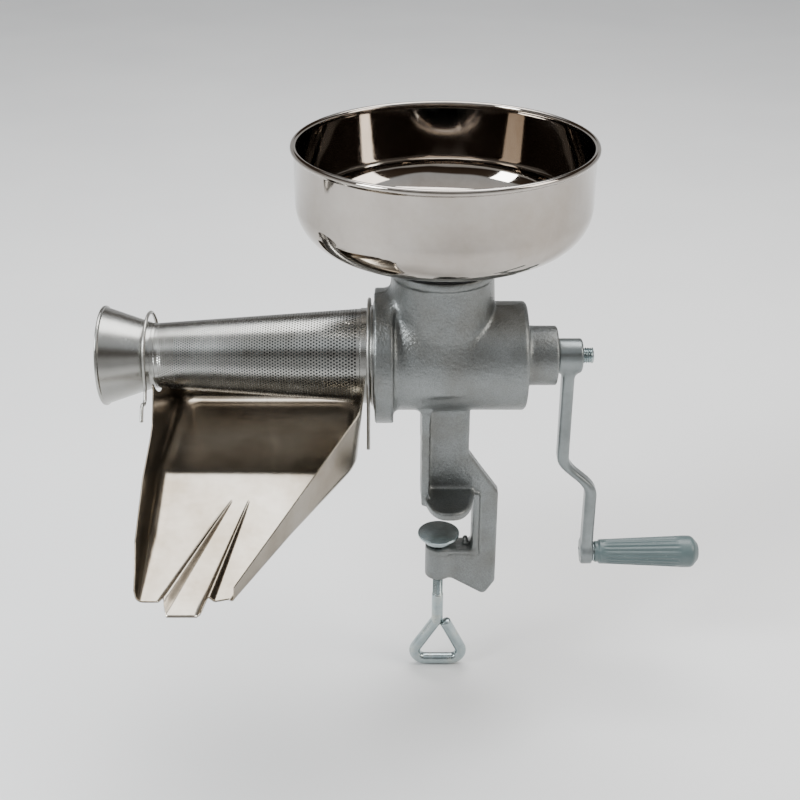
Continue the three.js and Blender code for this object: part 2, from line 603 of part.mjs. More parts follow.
function tray() {
  const top = AXIS_HEIGHT;
  const high = top + 5;
  const shell = cut(trayHulls(TRAY_SHEET, top), trayHulls(0, top + 1));
  const tabLeft = TRAY_LEFT + TRAY_LEAN + (TRAY_LIP_WIDTH - TAB_WIDTH) / 2;
  const fall = (TRAY_LIP_DROP / (TRAY_FOLD - TRAY_LIP)) * TAB_LENGTH;
  const tab = new ConvexGeometry([0, TAB_WIDTH].flatMap((across) => [
    [tabLeft + across, TRAY_LIP + 1, LIP_Z], [tabLeft + across, TRAY_LIP + 1, LIP_Z - TRAY_SHEET],
    [tabLeft + across, TRAY_LIP - TAB_LENGTH, LIP_Z - fall],
    [tabLeft + across, TRAY_LIP - TAB_LENGTH, LIP_Z - fall - TRAY_SHEET],
  ]).map((p) => new THREE.Vector3(...p)));
  const leftTrim = [
    [TRAY_BACK - 12, high], [LEFT_NOTCH + 7.5, top - 12], [LEFT_NOTCH, top - 12],
    [-LEFT_NOTCH, top - 16], [-60, top - 36], [-120, top - 52],
    [-175, top - 76], [TRAY_LIP + 2, LIP_Z + 12], [TRAY_LIP - 30, LIP_Z + 10], [TRAY_LIP - 30, high],
  ];
  const rightTrim = [
    [TRAY_FOLD + 30, high], [TRAY_FOLD, top - 12], [TRAY_LIP, LIP_Z + 16], [TRAY_LIP - 30, LIP_Z + 12],
    [TRAY_LIP - 30, high],
  ];
  const split = TRAY_LEFT + TRAY_LEAN + TRAY_LIP_WIDTH - 4;
  const outside = 12;
  const hole = (x0, x1, [y, z]) => rod(WIRE_CLEARANCE, x0, x1, 12).rotateZ(-Math.PI / 2).translate(0, y, z);
  return cut(
    shell.add(solid(tab)),
    solid(plateYZ(leftTrim, TRAY_LEFT - outside, split)),
    solid(plateYZ(rightTrim, split, TRAY_RIGHT + outside)),
    solid(plateYZ(notchOutline(LEFT_NOTCH, top, high), TRAY_LEFT - outside, TRAY_LEFT + 20)),
    solid(plateYZ(notchOutline(RIGHT_NOTCH, top, high), TRAY_RIGHT - 20, TRAY_RIGHT + outside)),
    solid(hole(TRAY_LEFT - outside, TRAY_LEFT + 20, LEFT_PIVOT)),
    solid(hole(TRAY_RIGHT - 20, TRAY_RIGHT + outside, RIGHT_PIVOT)),
  );
}

// Each wire has a leg through its hole in the tray, and arches over the strainer to the front.
function trayWire(x, inward, [pivotY, pivotZ], arch, hook) {
  const leg = [
    [x + 9 * inward, pivotY, pivotZ], [x + 5 * inward, pivotY, pivotZ], [x + 1.5 * inward, pivotY, pivotZ],
    [x, pivotY + 1, pivotZ + 2],
  ];
  return solid(wire([...leg, ...arcYZ(x, arch, 22, 168, 7), ...hook], WIRE_RADIUS, 40, 6));
}

function trayClipLeft() {
  const x = LEFT_WIRE_X;
  const side = -LEFT_NOTCH;
  const hook = [[x, side - 8.5, AXIS_HEIGHT - 12], [x, side - 15.5, AXIS_HEIGHT - 22],
    [x, side - 26.5, AXIS_HEIGHT - 20], [x, side - 34.5, AXIS_HEIGHT - 30]];
  return trayWire(x, 1, LEFT_PIVOT, LEFT_NOTCH + 6, hook);
}

function trayBailRight() {
  const x = RIGHT_WIRE_X;
  const side = -RIGHT_NOTCH;
  const hook = [[x, side - 8, AXIS_HEIGHT - 14], [x, side - 16, AXIS_HEIGHT - 34], [x, side - 26, AXIS_HEIGHT - 54]];
  return trayWire(x, -1, RIGHT_PIVOT, RIGHT_NOTCH + 5, hook);
}

// ---- hopper, standing on the throat ----
const GASKET_BOTTOM = THROAT_RIM + GAP;
const HOPPER_BOTTOM = GASKET_BOTTOM + GASKET_THICKNESS + GAP;

function hopperLine(inset) {
  const slope = THREE.MathUtils.degToRad(HOPPER_SLOPE);
  const shoulder = HOPPER_SHOULDER - inset;
  const centreR = HOPPER_RADIUS - HOPPER_SHOULDER;
  const coneRise = (centreR + HOPPER_SHOULDER * Math.sin(slope) - HOPPER_SEAT_RADIUS) * Math.tan(slope);
  const centreZ = HOPPER_BOTTOM + HOPPER_SHEET + coneRise + HOPPER_SHOULDER * Math.cos(slope);
  const line = [];
  const steps = 5;
  for (let i = 0; i <= steps; i++) {
    const angle = THREE.MathUtils.lerp(slope, Math.PI / 2, i / steps);
    line.push([centreR + shoulder * Math.sin(angle), centreZ - shoulder * Math.cos(angle)]);
  }
  line.push([HOPPER_RADIUS - inset, centreZ + HOPPER_SIDE]);
  return line;
}

function hopperBowl() {
  const bore = NECK_RADIUS + GAP;
  const outer = [[bore, HOPPER_BOTTOM], [HOPPER_SEAT_RADIUS, HOPPER_BOTTOM], ...hopperLine(0)];
  const inner = [
    [bore, HOPPER_BOTTOM + HOPPER_SHEET], [HOPPER_SEAT_RADIUS - 1, HOPPER_BOTTOM + HOPPER_SHEET],
    ...hopperLine(HOPPER_SHEET),
  ];
  const rimZ = outer.at(-1)[1];
  const bead = HOPPER_RADIUS + HOPPER_BEAD;
  outer.at(-1)[1] = rimZ - 2 * HOPPER_BEAD;
  outer.push([bead, rimZ - 2 * HOPPER_BEAD], [bead, rimZ]);
  return solid(upright(turned(ringProfile(inner, outer), 48), THROAT_X));
}

function hopperNeck() {
  const foot = HOPPER_BOTTOM - NECK_LENGTH;
  const top = HOPPER_BOTTOM + HOPPER_SHEET + GAP + HOPPER_SHEET;
  const under = top - HOPPER_SHEET;
  const wall = NECK_RADIUS - HOPPER_SHEET;
  const bead = NECK_RADIUS + 0.8;
  const inner = [[wall, foot], [wall, top]];
  const outer = [
    [bead, foot], [bead, foot + 2.4], [NECK_RADIUS, foot + 2.4], [NECK_RADIUS, under],
    [HOPPER_SEAT_RADIUS - 3, under], [HOPPER_SEAT_RADIUS - 3, top],
  ];
  return solid(upright(turned(ringProfile(inner, outer), 32), THROAT_X));
}

function hopperGasket() {
  const bore = NECK_RADIUS + GAP;
  const top = GASKET_BOTTOM + GASKET_THICKNESS;
  const inner = [[bore, GASKET_BOTTOM], [bore, top]];
  const outer = [[HOPPER_SEAT_RADIUS, GASKET_BOTTOM], [HOPPER_SEAT_RADIUS, top]];
  return solid(upright(turned(ringProfile(inner, outer), 32), THROAT_X));
}

// ---- clamp screw: one bent rod, with a swivelling pad on its end ----
const PAD_BOTTOM = PAD_TOP - PAD_HEIGHT;

function clampScrew() {
  const start = PAD_TOP - PAD_ROOF - GAP;
  const straight = turned([
    [0, start], [THREAD_RADIUS, start], [THREAD_RADIUS, THREAD_END], [ROD_RADIUS, THREAD_END],
    [ROD_RADIUS, LOOP_TOP + 2], [0, LOOP_TOP + 2],
  ], SMALL_ROUND);
  const corner = 9;
  const bend = LOOP_HALF_WIDTH;
  const low = LOOP_BOTTOM + ROD_RADIUS;
  const loop = wire([
    [0, 0, LOOP_TOP + 6], [0, 0, LOOP_TOP], [-4, 0, LOOP_TOP - 7], [-bend + 4, 0, low + corner + 6],
    [-bend, 0, low + corner - 3], [-bend + 6, 0, low], [0, 0, low], [bend - 6, 0, low],
    [bend, 0, low + corner - 3], [bend - 4, 0, low + corner + 6], [13, 0, LOOP_TOP - 11],
  ], ROD_RADIUS, 36, 8);
  return union(solid(upright(straight)), solid(loop));
}

function clampPad() {
  const socket = THREAD_RADIUS + GAP;
  const under = PAD_TOP - PAD_FLANGE;
  const profile = [
    [0, PAD_TOP - PAD_ROOF], [socket, PAD_TOP - PAD_ROOF], [socket, PAD_BOTTOM], [9, PAD_BOTTOM],
    [13, PAD_BOTTOM + 3], [PAD_DOME_RADIUS, under - 3], [PAD_DOME_RADIUS, under],
    [PAD_FLANGE_RADIUS, under], [PAD_FLANGE_RADIUS, PAD_TOP], [0, PAD_TOP],
  ];
  return solid(upright(turned(profile, 24)));
}

// ---- the machine ----
const machine = new THREE.Group();
const augerLine = new THREE.Group();   // its Y axis lies along the machine's X
augerLine.rotation.z = -Math.PI / 2;
augerLine.position.z = AXIS_HEIGHT;
augerLine.add(
  mesh('drive_shaft', driveShaft(), ZINC),
  mesh('thrust_bearing', thrustBearing(), NYLON),
  mesh('thrust_spring', thrustSpring(), ZINC),
  mesh('auger', auger(), PLASTIC),
  mesh('strainer_collar', strainerCollar(), STAINLESS),
  mesh('strainer_screen', strainerScreen(), STAINLESS),
  mesh('strainer_funnel', strainerFunnel(), STAINLESS),
);
machine.add(
  augerLine,
  mesh('body_casting', bodyCasting(), CAST),
  mesh('crank_arm', crankArm(), CAST),
  mesh('grip_washer', gripWasher(), ZINC),
  mesh('grip', grip(), PLASTIC),
  mesh('grip_bolt', gripBolt(), ZINC),
  mesh('tray', tray(), STAINLESS),
  mesh('tray_clip_left', trayClipLeft(), STAINLESS),
  mesh('tray_bail_right', trayBailRight(), STAINLESS),
  mesh('hopper_bowl', hopperBowl(), STAINLESS),
  mesh('hopper_neck', hopperNeck(), STAINLESS),
  mesh('hopper_gasket', hopperGasket(), RUBBER),
  mesh('clamp_screw', clampScrew(), ZINC),
  mesh('clamp_pad', clampPad(), ZINC),
);

export default machine;
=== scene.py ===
"""Looks of a clamp-on hand-crank fruit press: cast body, hopper, auger, strainer, tray and crank.

Shapes are worked out in millimetres, in the frame's own axes, and go into the meshes in metres.
The auger's axis lies along X, the hopper stands along Z and the tray pours towards -Y.
"""
import math

import bmesh
import bpy
import numpy as np
import openvdb
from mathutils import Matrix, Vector


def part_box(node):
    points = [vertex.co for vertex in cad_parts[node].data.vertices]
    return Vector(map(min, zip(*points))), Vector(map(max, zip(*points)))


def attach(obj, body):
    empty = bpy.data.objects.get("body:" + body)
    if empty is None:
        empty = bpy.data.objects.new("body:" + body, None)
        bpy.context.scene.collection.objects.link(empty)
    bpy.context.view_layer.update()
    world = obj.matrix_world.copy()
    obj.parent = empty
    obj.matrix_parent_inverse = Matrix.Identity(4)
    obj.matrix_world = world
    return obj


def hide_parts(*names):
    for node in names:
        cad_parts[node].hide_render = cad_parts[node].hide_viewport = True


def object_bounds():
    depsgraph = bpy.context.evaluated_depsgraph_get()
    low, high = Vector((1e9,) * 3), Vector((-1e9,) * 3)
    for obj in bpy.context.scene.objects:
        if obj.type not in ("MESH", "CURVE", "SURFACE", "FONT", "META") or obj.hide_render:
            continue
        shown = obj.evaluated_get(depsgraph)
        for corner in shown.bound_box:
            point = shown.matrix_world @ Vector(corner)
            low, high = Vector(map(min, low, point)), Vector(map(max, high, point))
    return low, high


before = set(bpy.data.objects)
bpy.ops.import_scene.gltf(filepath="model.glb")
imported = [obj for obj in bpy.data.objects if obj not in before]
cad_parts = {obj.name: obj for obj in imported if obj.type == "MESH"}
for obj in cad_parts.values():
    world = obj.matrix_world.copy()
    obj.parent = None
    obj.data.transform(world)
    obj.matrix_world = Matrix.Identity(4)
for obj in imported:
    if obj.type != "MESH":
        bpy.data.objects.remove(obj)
cad_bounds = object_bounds()

MM = 0.001
TURN = 2 * math.pi


# ---------------------------------------------------------------- places, from the frame
def span(node):
    """Lowest and highest corner of a CAD node, in millimetres."""
    low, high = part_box(node)
    return np.array(low) / MM, np.array(high) / MM


body_low, body_high = span("body_casting")
screen_low, screen_high = span("strainer_screen")
collar_low, collar_high = span("strainer_collar")
funnel_low, funnel_high = span("strainer_funnel")
auger_low, auger_high = span("auger")
shaft_low, shaft_high = span("drive_shaft")
bearing_low, bearing_high = span("thrust_bearing")
spring_low, spring_high = span("thrust_spring")
crank_low, crank_high = span("crank_arm")
grip_low, grip_high = span("grip")
bolt_low, bolt_high = span("grip_bolt")
washer_low, washer_high = span("grip_washer")
bowl_low, bowl_high = span("hopper_bowl")
neck_low, neck_high = span("hopper_neck")
gasket_low, gasket_high = span("hopper_gasket")
screw_low, screw_high = span("clamp_screw")
pad_low, pad_high = span("clamp_pad")
tray_low, tray_high = span("tray")

AXIS = (auger_low[2] + auger_high[2]) / 2
GAP = 0.3
FLANGE_FACE = body_low[0]
FLANGE_BACK = FLANGE_FACE + 16
FLANGE_R = body_high[1]
BARREL_R = 47.5
BARREL_REAR = 73
CHAMBER_R = 42
HUB_R = 26
HUB_END = body_high[0]
THROAT_R = 43
THROAT_BORE = 38
THROAT_RIM = body_high[2]
SHAFT_R = 9.25
SHAFT_BORE = 9.65
SCREW_R = 4.9
ROD_R = 5.5
BOLT_BORE = 4.3
NECK_HOLE = 36.8
SHEET = 0.8
WIRE_R = 1.5
AUGER_AXIS = ("x", (0, 0, AXIS))
UPRIGHT = ("z", (0, 0, 0))


# ---------------------------------------------------------------- outlines and paths
def rounded(corners, closed=False, steps=6):
    """Line through corners, each given as coordinates and a radius.

    A corner with a radius becomes the arc that touches both of its sides, turned from the
    first touching point to the second about the arc's centre.
    """
    corners = [np.array(corner, float) for corner in corners]
    line = []
    for number, corner in enumerate(corners):
        here, radius = corner[:-1], corner[-1]
        at_end = not closed and number in (0, len(corners) - 1)
        if radius == 0 or at_end:
            line.append(here)
            continue
        back = corners[number - 1][:-1] - here
        ahead = corners[(number + 1) % len(corners)][:-1] - here
        back_length, ahead_length = np.linalg.norm(back), np.linalg.norm(ahead)
        back, ahead = back / back_length, ahead / ahead_length
        half = math.acos(np.clip(back @ ahead, -0.9999, 0.9999)) / 2
        reach = min(radius / math.tan(half), 0.49 * back_length, 0.49 * ahead_length)
        radius = reach * math.tan(half)
        middle = (back + ahead) / np.linalg.norm(back + ahead)
        centre = here + middle * radius / math.sin(half)
        first, last = here + back * reach - centre, here + ahead * reach - centre
        swing = math.pi - 2 * half
        share = np.linspace(0, 1, steps + 1)[:, None]
        arc = (first * np.sin((1 - share) * swing) + last * np.sin(share * swing)) / math.sin(swing)
        line.extend(centre + arc)
    return np.array(line)


def evened(path, step):
    """The same path with points every step millimetres along it."""
    length = np.concatenate([[0], np.cumsum(np.linalg.norm(np.diff(path, axis=0), axis=1))])
    at = np.linspace(0, length[-1], max(int(length[-1] / step), 2) + 1)
    return np.stack([np.interp(at, length, path[:, k]) for k in range(path.shape[1])], 1)


# ---------------------------------------------------------------- surfaces
def grid_faces(rows, columns, wrap_rows=False, wrap_columns=False):
    """Four-cornered faces between neighbouring points of a grid."""
    r, c = np.meshgrid(
        np.arange(rows if wrap_rows else rows - 1),
        np.arange(columns if wrap_columns else columns - 1), indexing="ij")
    here, ahead = r * columns, (r + 1) % rows * columns
    c2 = (c + 1) % columns
    return np.stack([here + c, here + c2, ahead + c2, ahead + c], -1).reshape(-1, 4)


def surface(points, wrap_rows=False, wrap_columns=False):
    """One part of a piece: a grid of points of shape (rows, columns, 3)."""
    rows, columns = points.shape[:2]
    return points.reshape(-1, 3), [grid_faces(rows, columns, wrap_rows, wrap_columns)]


def about_axis(radius, along, angle, axis, centre):
    """Points at a radius and angle about an axis through centre, along it: X or Z."""
    across, up = radius * np.cos(angle), radius * np.sin(angle)
    along = along + 0 * across
    parts = (along, across, up) if axis == "x" else (across, up, along)
    return np.stack(parts, -1) + np.array(centre, float)


def turned(profile, axis, centre, sides=96, closed=False):
    """A profile of (radius, along) points turned about an axis. It closes on itself or ends on the axis."""
    profile = np.asarray(profile, float)
    angle = np.arange(sides) * TURN / sides
    points = about_axis(profile[:, :1], profile[:, 1:], angle[None, :], axis, centre)
    return surface(points, wrap_rows=closed, wrap_columns=True)


def swept(path, radius, across, sides=20):
    """A round rod along a path: each ring lies square to the path, with domed ends.

    across is a direction that the path never runs along. The rings of the ends shrink to a point.
    """
    path = np.asarray(path, float)
    tangent = np.gradient(path, axis=0)
    tangent /= np.linalg.norm(tangent, axis=1, keepdims=True)
    side = np.cross(tangent, across)
    side /= np.linalg.norm(side, axis=1, keepdims=True)
    up = np.cross(side, tangent)
    turn = np.linspace(0, math.pi / 2, 5)[:-1]
    pad = len(turn)
    shrink = np.concatenate([np.sin(turn), np.ones(len(path)), np.sin(turn)[::-1]])
    lift = (0.35 * radius * np.cos(turn))[:, None]
    path = np.concatenate([path[0] - lift * tangent[0], path, path[-1] + lift[::-1] * tangent[-1]])
    side = np.concatenate([np.repeat(side[:1], pad, 0), side, np.repeat(side[-1:], pad, 0)])
    up = np.concatenate([np.repeat(up[:1], pad, 0), up, np.repeat(up[-1:], pad, 0)])
    angle = np.arange(sides) * TURN / sides
    ring = side[:, None] * np.cos(angle)[None, :, None] + up[:, None] * np.sin(angle)[None, :, None]
    return surface(path[:, None] + radius * shrink[:, None, None] * ring, wrap_columns=True)


def threaded(radius, depth, pitch, low, high, axis, centre, sides=48, fade=1.5):
    """A right-hand thread: the radius falls by depth as the distance from the helix's crest grows.

    Each end shrinks to a bevelled tip and closes on the axis.
    """
    rows = int((high - low) / pitch * 10)
    along = np.linspace(low, high, rows)[:, None]
    angle = (np.arange(sides) * TURN / sides)[None, :]
    phase = np.abs((along / pitch - angle / TURN) % 1 - 0.5) * 2
    ends = np.clip(np.minimum(along - low, high - along) / fade, 0, 1)
    groove = depth * np.clip(phase * 1.3 - 0.15, 0, 1) * ends
    tip, bevel = radius - 1.2 * depth, 0.6
    near, far = [np.full((2, sides), radii) for radii in ([[0], [tip]], [[tip], [0]])]
    reach = np.concatenate([near, radius - groove, far])
    along = np.concatenate([[[low - bevel]] * 2, along, [[high + bevel]] * 2])
    return surface(about_axis(reach, along, angle, axis, centre), wrap_columns=True)


# ---------------------------------------------------------------- castings, as distance fields
def blend_union(a, b, radius):
    """The smaller of two distances, eased over a radius: a fillet where two shapes meet."""
    share = np.clip(0.5 + 0.5 * (b - a) / radius, 0, 1)
    return b + (a - b) * share - radius * share * (1 - share)


def blend_cut(a, b, radius):
    """Shape a less shape b, with the edge between them eased over a radius."""
    return -blend_union(-a, b, radius)


def bar_field(across, along, radius, low, high, edge):
    """Distance to a round bar: across is the distance from its axis; edge rounds its two rims."""
    out = across - (radius - edge)
    end = np.abs(along - (low + high) / 2) - ((high - low) / 2 - edge)
    return np.hypot(np.maximum(out, 0), np.maximum(end, 0)) + np.minimum(np.maximum(out, end), 0) - edge


def outline_distance(u, v, outline):
    """Signed distance to a closed outline: nearest side, negative where a ray crosses an odd number."""
    best = np.full(np.broadcast(u, v).shape, 1e9)
    inside = np.zeros(best.shape, bool)
    for (u0, v0), (u1, v1) in zip(outline, np.roll(outline, -1, 0)):
        du, dv = u1 - u0, v1 - v0
        share = np.clip(((u - u0) * du + (v - v0) * dv) / (du * du + dv * dv + 1e-12), 0, 1)
        best = np.minimum(best, (u - u0 - share * du) ** 2 + (v - v0 - share * dv) ** 2)
        crosses = (v0 > v) != (v1 > v)
        inside ^= crosses & (u < (v - v0) * du / (dv if dv else 1e-12) + u0)
    return np.where(inside, -1, 1) * np.sqrt(best)


def plate_field(u, v, w, outline, low, high, edge):
    """Distance to a plate: an outline in u and v, from low to high in w, with rounded edges."""
    flat = outline_distance(u, v, outline) + edge
    thick = np.abs(w - (low + high) / 2) - ((high - low) / 2 - edge)
    return np.hypot(np.maximum(flat, 0), np.maximum(thick, 0)) + np.minimum(np.maximum(flat, thick), 0) - edge


def cast_surface(field, low, high, step):
    """The zero surface of a distance field, meshed on a cubic grid and then moved onto the surface.

    Each point steps back along the field's slope by the field's value, three times.
    """
    low = np.array(low, float) - 3 * step
    size = np.ceil((np.array(high) + 3 * step - low) / step).astype(int)
    x, y, z = [low[k] + step * np.arange(size[k]) for k in range(3)]
    values = field(x[:, None, None], y[None, :, None], z[None, None, :])
    grid = openvdb.FloatGrid(3 * step)
    grid.copyFromArray(np.ascontiguousarray(np.clip(values, -3 * step, 3 * step), np.float32))
    points, faces = grid.convertToQuads(0.0)
    points = points.astype(float) * step + low
    nudge = 0.05
    for _ in range(3):
        here = field(points[:, 0], points[:, 1], points[:, 2])
        slope = np.stack([
            field(*(points + nudge * np.eye(3)[k]).T) - field(*(points - nudge * np.eye(3)[k]).T)
            for k in range(3)], 1) / (2 * nudge)
        steep = np.maximum((slope ** 2).sum(1, keepdims=True), 0.2)
        points -= np.clip(here[:, None] * slope / steep, -step, step)
    return points, [faces.astype(int)]


# ---------------------------------------------------------------- pieces
def six_volumes(points, faces):
    """Sum over the faces of corner a dot (b cross c): positive when the faces point outwards."""
    total = 0.0
    for group in faces:
        for k in range(1, group.shape[1] - 1):
            a, b, c = points[group[:, 0]], points[group[:, k]], points[group[:, k + 1]]
            total += (a * np.cross(b, c)).sum()
    return total


def build(name, parts, finish, body, stands_for, sharp=35, closed=True):
    """A piece from its parts, in one mesh: shells are turned to face out, and doubled points joined."""
    points, starts, totals, corners = [], [], [], []
    offset = loops = 0
    for part_points, part_faces in parts:
        if closed and six_volumes(part_points, part_faces) < 0:
            part_faces = [group[:, ::-1] for group in part_faces]
        for group in part_faces:
            count, size = group.shape
            corners.append((group + offset).ravel())
            starts.append(loops + size * np.arange(count))
            totals.append(np.full(count, size))
            loops += count * size
        points.append(part_points)
        offset += len(part_points)
    points = np.concatenate(points) * MM
    mesh = bpy.data.meshes.new(name)
    mesh.vertices.add(len(points))
    mesh.vertices.foreach_set("co", points.astype(np.float32).ravel())
    mesh.loops.add(loops)
    mesh.loops.foreach_set("vertex_index", np.concatenate(corners).astype(np.int32))
    mesh.polygons.add(sum(len(group) for group in totals))
    mesh.polygons.foreach_set("loop_start", np.concatenate(starts).astype(np.int32))
    mesh.polygons.foreach_set("loop_total", np.concatenate(totals).astype(np.int32))
    mesh.update(calc_edges=True)
    work = bmesh.new()
    work.from_mesh(mesh)
    bmesh.ops.remove_doubles(work, verts=work.verts, dist=2e-6)
    bmesh.ops.dissolve_degenerate(work, dist=1e-7, edges=work.edges)
    work.to_mesh(mesh)
    work.free()
    mesh.polygons.foreach_set("use_smooth", np.ones(len(mesh.polygons), bool))
    mesh.set_sharp_from_angle(angle=math.radians(sharp))
    piece = bpy.data.objects.new(name, mesh)
    bpy.context.scene.collection.objects.link(piece)
    mesh.materials.append(finish)
    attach(piece, body)
    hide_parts(stands_for)
    return piece


# ---------------------------------------------------------------- shader maths
def set_stops(ramp, stops):
    """Gives a colour ramp its stops, each a place from 0 to 1 and a colour."""
    while len(ramp.elements) < len(stops):
        ramp.elements.new(0.5)
    for element, (at, colour) in zip(ramp.elements, stops):
        element.position = at
        element.color = (*colour, 1)


class Value:
    """A shader socket that Python sums, differences, products and powers can be written with."""

    def __init__(self, tree, socket):
        self.tree = tree
        self.socket = socket

    def math(self, operation, *others):
        """One maths node whose inputs are the given values, in order."""
        made = self.tree.nodes.new("ShaderNodeMath")
        made.operation = operation
        for number, value in enumerate(others):
            if isinstance(value, Value):
                self.tree.links.new(value.socket, made.inputs[number])
            else:
                made.inputs[number].default_value = value
        return Value(self.tree, made.outputs[0])

    def __add__(self, other):
        return self.math("ADD", self, other)

    def __radd__(self, other):
        return self.math("ADD", other, self)

    def __sub__(self, other):
        return self.math("SUBTRACT", self, other)

    def __rsub__(self, other):
        return self.math("SUBTRACT", other, self)

    def __mul__(self, other):
        return self.math("MULTIPLY", self, other)

    def __rmul__(self, other):
        return self.math("MULTIPLY", other, self)

    def __pow__(self, other):
        return self.math("POWER", self, other)

    def between(self, low, high):
        """0 at low and 1 at high, straight between them."""
        part = self.math("MINIMUM", self - low, high - low)
        return (part * (1 / (high - low))).above(0)

    def above(self, floor):
        """The value, or floor where the value is less."""
        return self.math("MAXIMUM", self, floor)


class Finish:
    """A material: a principled shader whose sockets take numbers, colours or worked-out values."""

    def __init__(self, name):
        self.material = bpy.data.materials.new(name)
        self.material.use_nodes = True
        self.tree = self.material.node_tree
        self.shader = self.tree.nodes["Principled BSDF"]
        self.place = self.node("ShaderNodeTexCoord", output="Object")

    def node(self, kind, settings=None, inputs=None, output=0):
        """A node with its settings and inputs, which may be numbers or worked-out values."""
        made = self.tree.nodes.new(kind)
        for name, value in (settings or {}).items():
            if name == "stops":
                set_stops(made.color_ramp, value)
            else:
                setattr(made, name, value)
        for name, value in (inputs or {}).items():
            if isinstance(value, Value):
                self.tree.links.new(value.socket, made.inputs[name])
            else:
                made.inputs[name].default_value = value
        return Value(self.tree, made.outputs[output])

    def noise(self, scale, detail=3.0, rough=0.55, stretch=None, seed=0.0):
        """Noise with features about 1 / scale metres wide, stretched along an axis if asked."""
        place = self.place
        if stretch or seed:
            place = self.node("ShaderNodeMapping", {}, {
                "Vector": place, "Scale": stretch or (1, 1, 1), "Location": (seed, seed * 0.7, -seed)})
        return self.node("ShaderNodeTexNoise", {}, {
            "Vector": place, "Scale": scale, "Detail": detail, "Roughness": rough})

    def ramp(self, factor, *stops):
        """Colours that follow the factor through the stops."""
        return self.node("ShaderNodeValToRGB", {"stops": stops}, {"Fac": factor})

    def mix(self, factor, one, other):
        """Colour one where factor is 0, the other where it is 1."""
        made = self.tree.nodes.new("ShaderNodeMix")
        made.data_type = "RGBA"
        for number, value in ((0, factor), (6, one), (7, other)):
            if isinstance(value, Value):
                self.tree.links.new(value.socket, made.inputs[number])
            else:
                made.inputs[number].default_value = value if number == 0 else (*value, 1)
        return Value(self.tree, made.outputs[2])

    def bump(self, height, distance, strength=1.0):
        """A normal that follows height, where 1 stands for distance metres."""
        return self.node("ShaderNodeBump", {}, {
            "Height": height, "Distance": distance, "Strength": strength}, "Normal")

    def set(self, **sockets):
        """Fills the shader's sockets, whose names have spaces here written as underscores."""
        for name, value in sockets.items():
            name = name.replace("_", " ")
            if isinstance(value, Value):
                self.tree.links.new(value.socket, self.shader.inputs[name])
            else:
                self.shader.inputs[name].default_value = value
        return self.material


def cast_silver_finish():
    """Silver paint over a sand casting: fine grains, low lumps, and a warmer, duller film in patches."""
    finish = Finish("cast_silver")
    grain = finish.noise(1300, 2.0, 0.6)
    peel = finish.noise(420, 2.0, 0.5, seed=8.0)
    lumps = finish.noise(90, 3.0, 0.5)
    film = finish.noise(22, 4.0, 0.6, seed=3.0)
    silver = finish.ramp(
        film, (0.30, (0.170, 0.170, 0.158)), (0.55, (0.225, 0.238, 0.235)), (0.8, (0.275, 0.292, 0.292)))
    speck = grain.between(0.35, 0.62)
    colour = finish.mix(0.45 * (1 - speck), silver, (0.085, 0.088, 0.088))
    height = grain * 0.5 + peel * 1.3 + lumps * 1.5
    return finish.set(
        Base_Color=colour, Metallic=0.85, Roughness=0.25 + film * 0.14 + grain * 0.08,
        Normal=finish.bump(height, 0.0006, 0.6))


def crank_silver_finish():
    """The crank's smoother silver paint, with soft ripples and a few dull spots."""
    finish = Finish("crank_silver")
    ripple = finish.noise(140, 3.0, 0.5)
    grain = finish.noise(1600, 2.0, 0.6, seed=1.0)
    film = finish.noise(35, 4.0, 0.6, seed=5.0)
    colour = finish.ramp(film, (0.3, (0.165, 0.180, 0.180)), (0.7, (0.26, 0.285, 0.287)))
    return finish.set(
        Base_Color=colour, Metallic=0.9, Roughness=0.27 + film * 0.14,
        Normal=finish.bump(grain * 0.4 + ripple, 0.0002, 0.5))


def sheet_finish(name, warm, cool, rough):
    """Bright stainless sheet: fine streaks along X from polishing, soft rolling waves and faint smears."""
    finish = Finish(name)
    streaks = finish.noise(1500, 2.0, 0.6, stretch=(0.03, 1.0, 1.0))
    smears = finish.noise(18, 4.0, 0.6, seed=2.0)
    waves = finish.noise(14, 2.0, 0.4, seed=7.0)
    colour = finish.ramp(smears, (0.35, warm), (0.7, cool))
    return finish.set(
        Base_Color=colour, Metallic=1.0, Roughness=rough + smears * 0.10 + streaks * 0.06,
        Normal=finish.bump(waves + streaks * 0.012, 0.0008, 0.4))


def mirror_finish():
    """Mirror-polished stainless: clean, with hairlines round the bowl and finger haze in patches. Its dark
    warm brown colour is a painted reflection of a dim brown room, lighter where the haze noise is high.
    """
    finish = Finish("mirror_stainless")
    hairs = finish.noise(2500, 2.0, 0.7, stretch=(1.0, 1.0, 0.02))
    haze = finish.noise(16, 5.0, 0.65, seed=4.0)
    haze_mask = haze.between(0.45, 0.75)
    # Painted reflection: the dark warm browns stand for the dim room the bowl mirrors; the haze noise
    # lightens them in patches.
    colour = finish.ramp(haze, (0.3, (0.31, 0.275, 0.24)), (0.7, (0.41, 0.38, 0.35)))
    return finish.set(
        Base_Color=colour, Metallic=1.0, Roughness=0.035 + haze_mask * 0.05 + hairs * 0.02,
        Normal=finish.bump(finish.noise(9, 2.0, 0.4, seed=9.0) + hairs * 0.004, 0.0005, 0.3))


def zinc_finish():
    """Bright zinc plate: bluish, slightly cloudy, with fine handling marks."""
    finish = Finish("zinc_plate")
    cloud = finish.noise(60, 4.0, 0.6)
    marks = finish.noise(900, 3.0, 0.7, seed=2.0)
    colour = finish.ramp(
        cloud, (0.3, (0.28, 0.34, 0.35)), (0.55, (0.39, 0.45, 0.46)), (0.75, (0.44, 0.46, 0.42)))
    return finish.set(
        Base_Color=colour, Metallic=1.0, Roughness=0.17 + cloud * 0.12 + marks * 0.05,
        Normal=finish.bump(marks * 0.3 + cloud, 0.0001, 0.4))


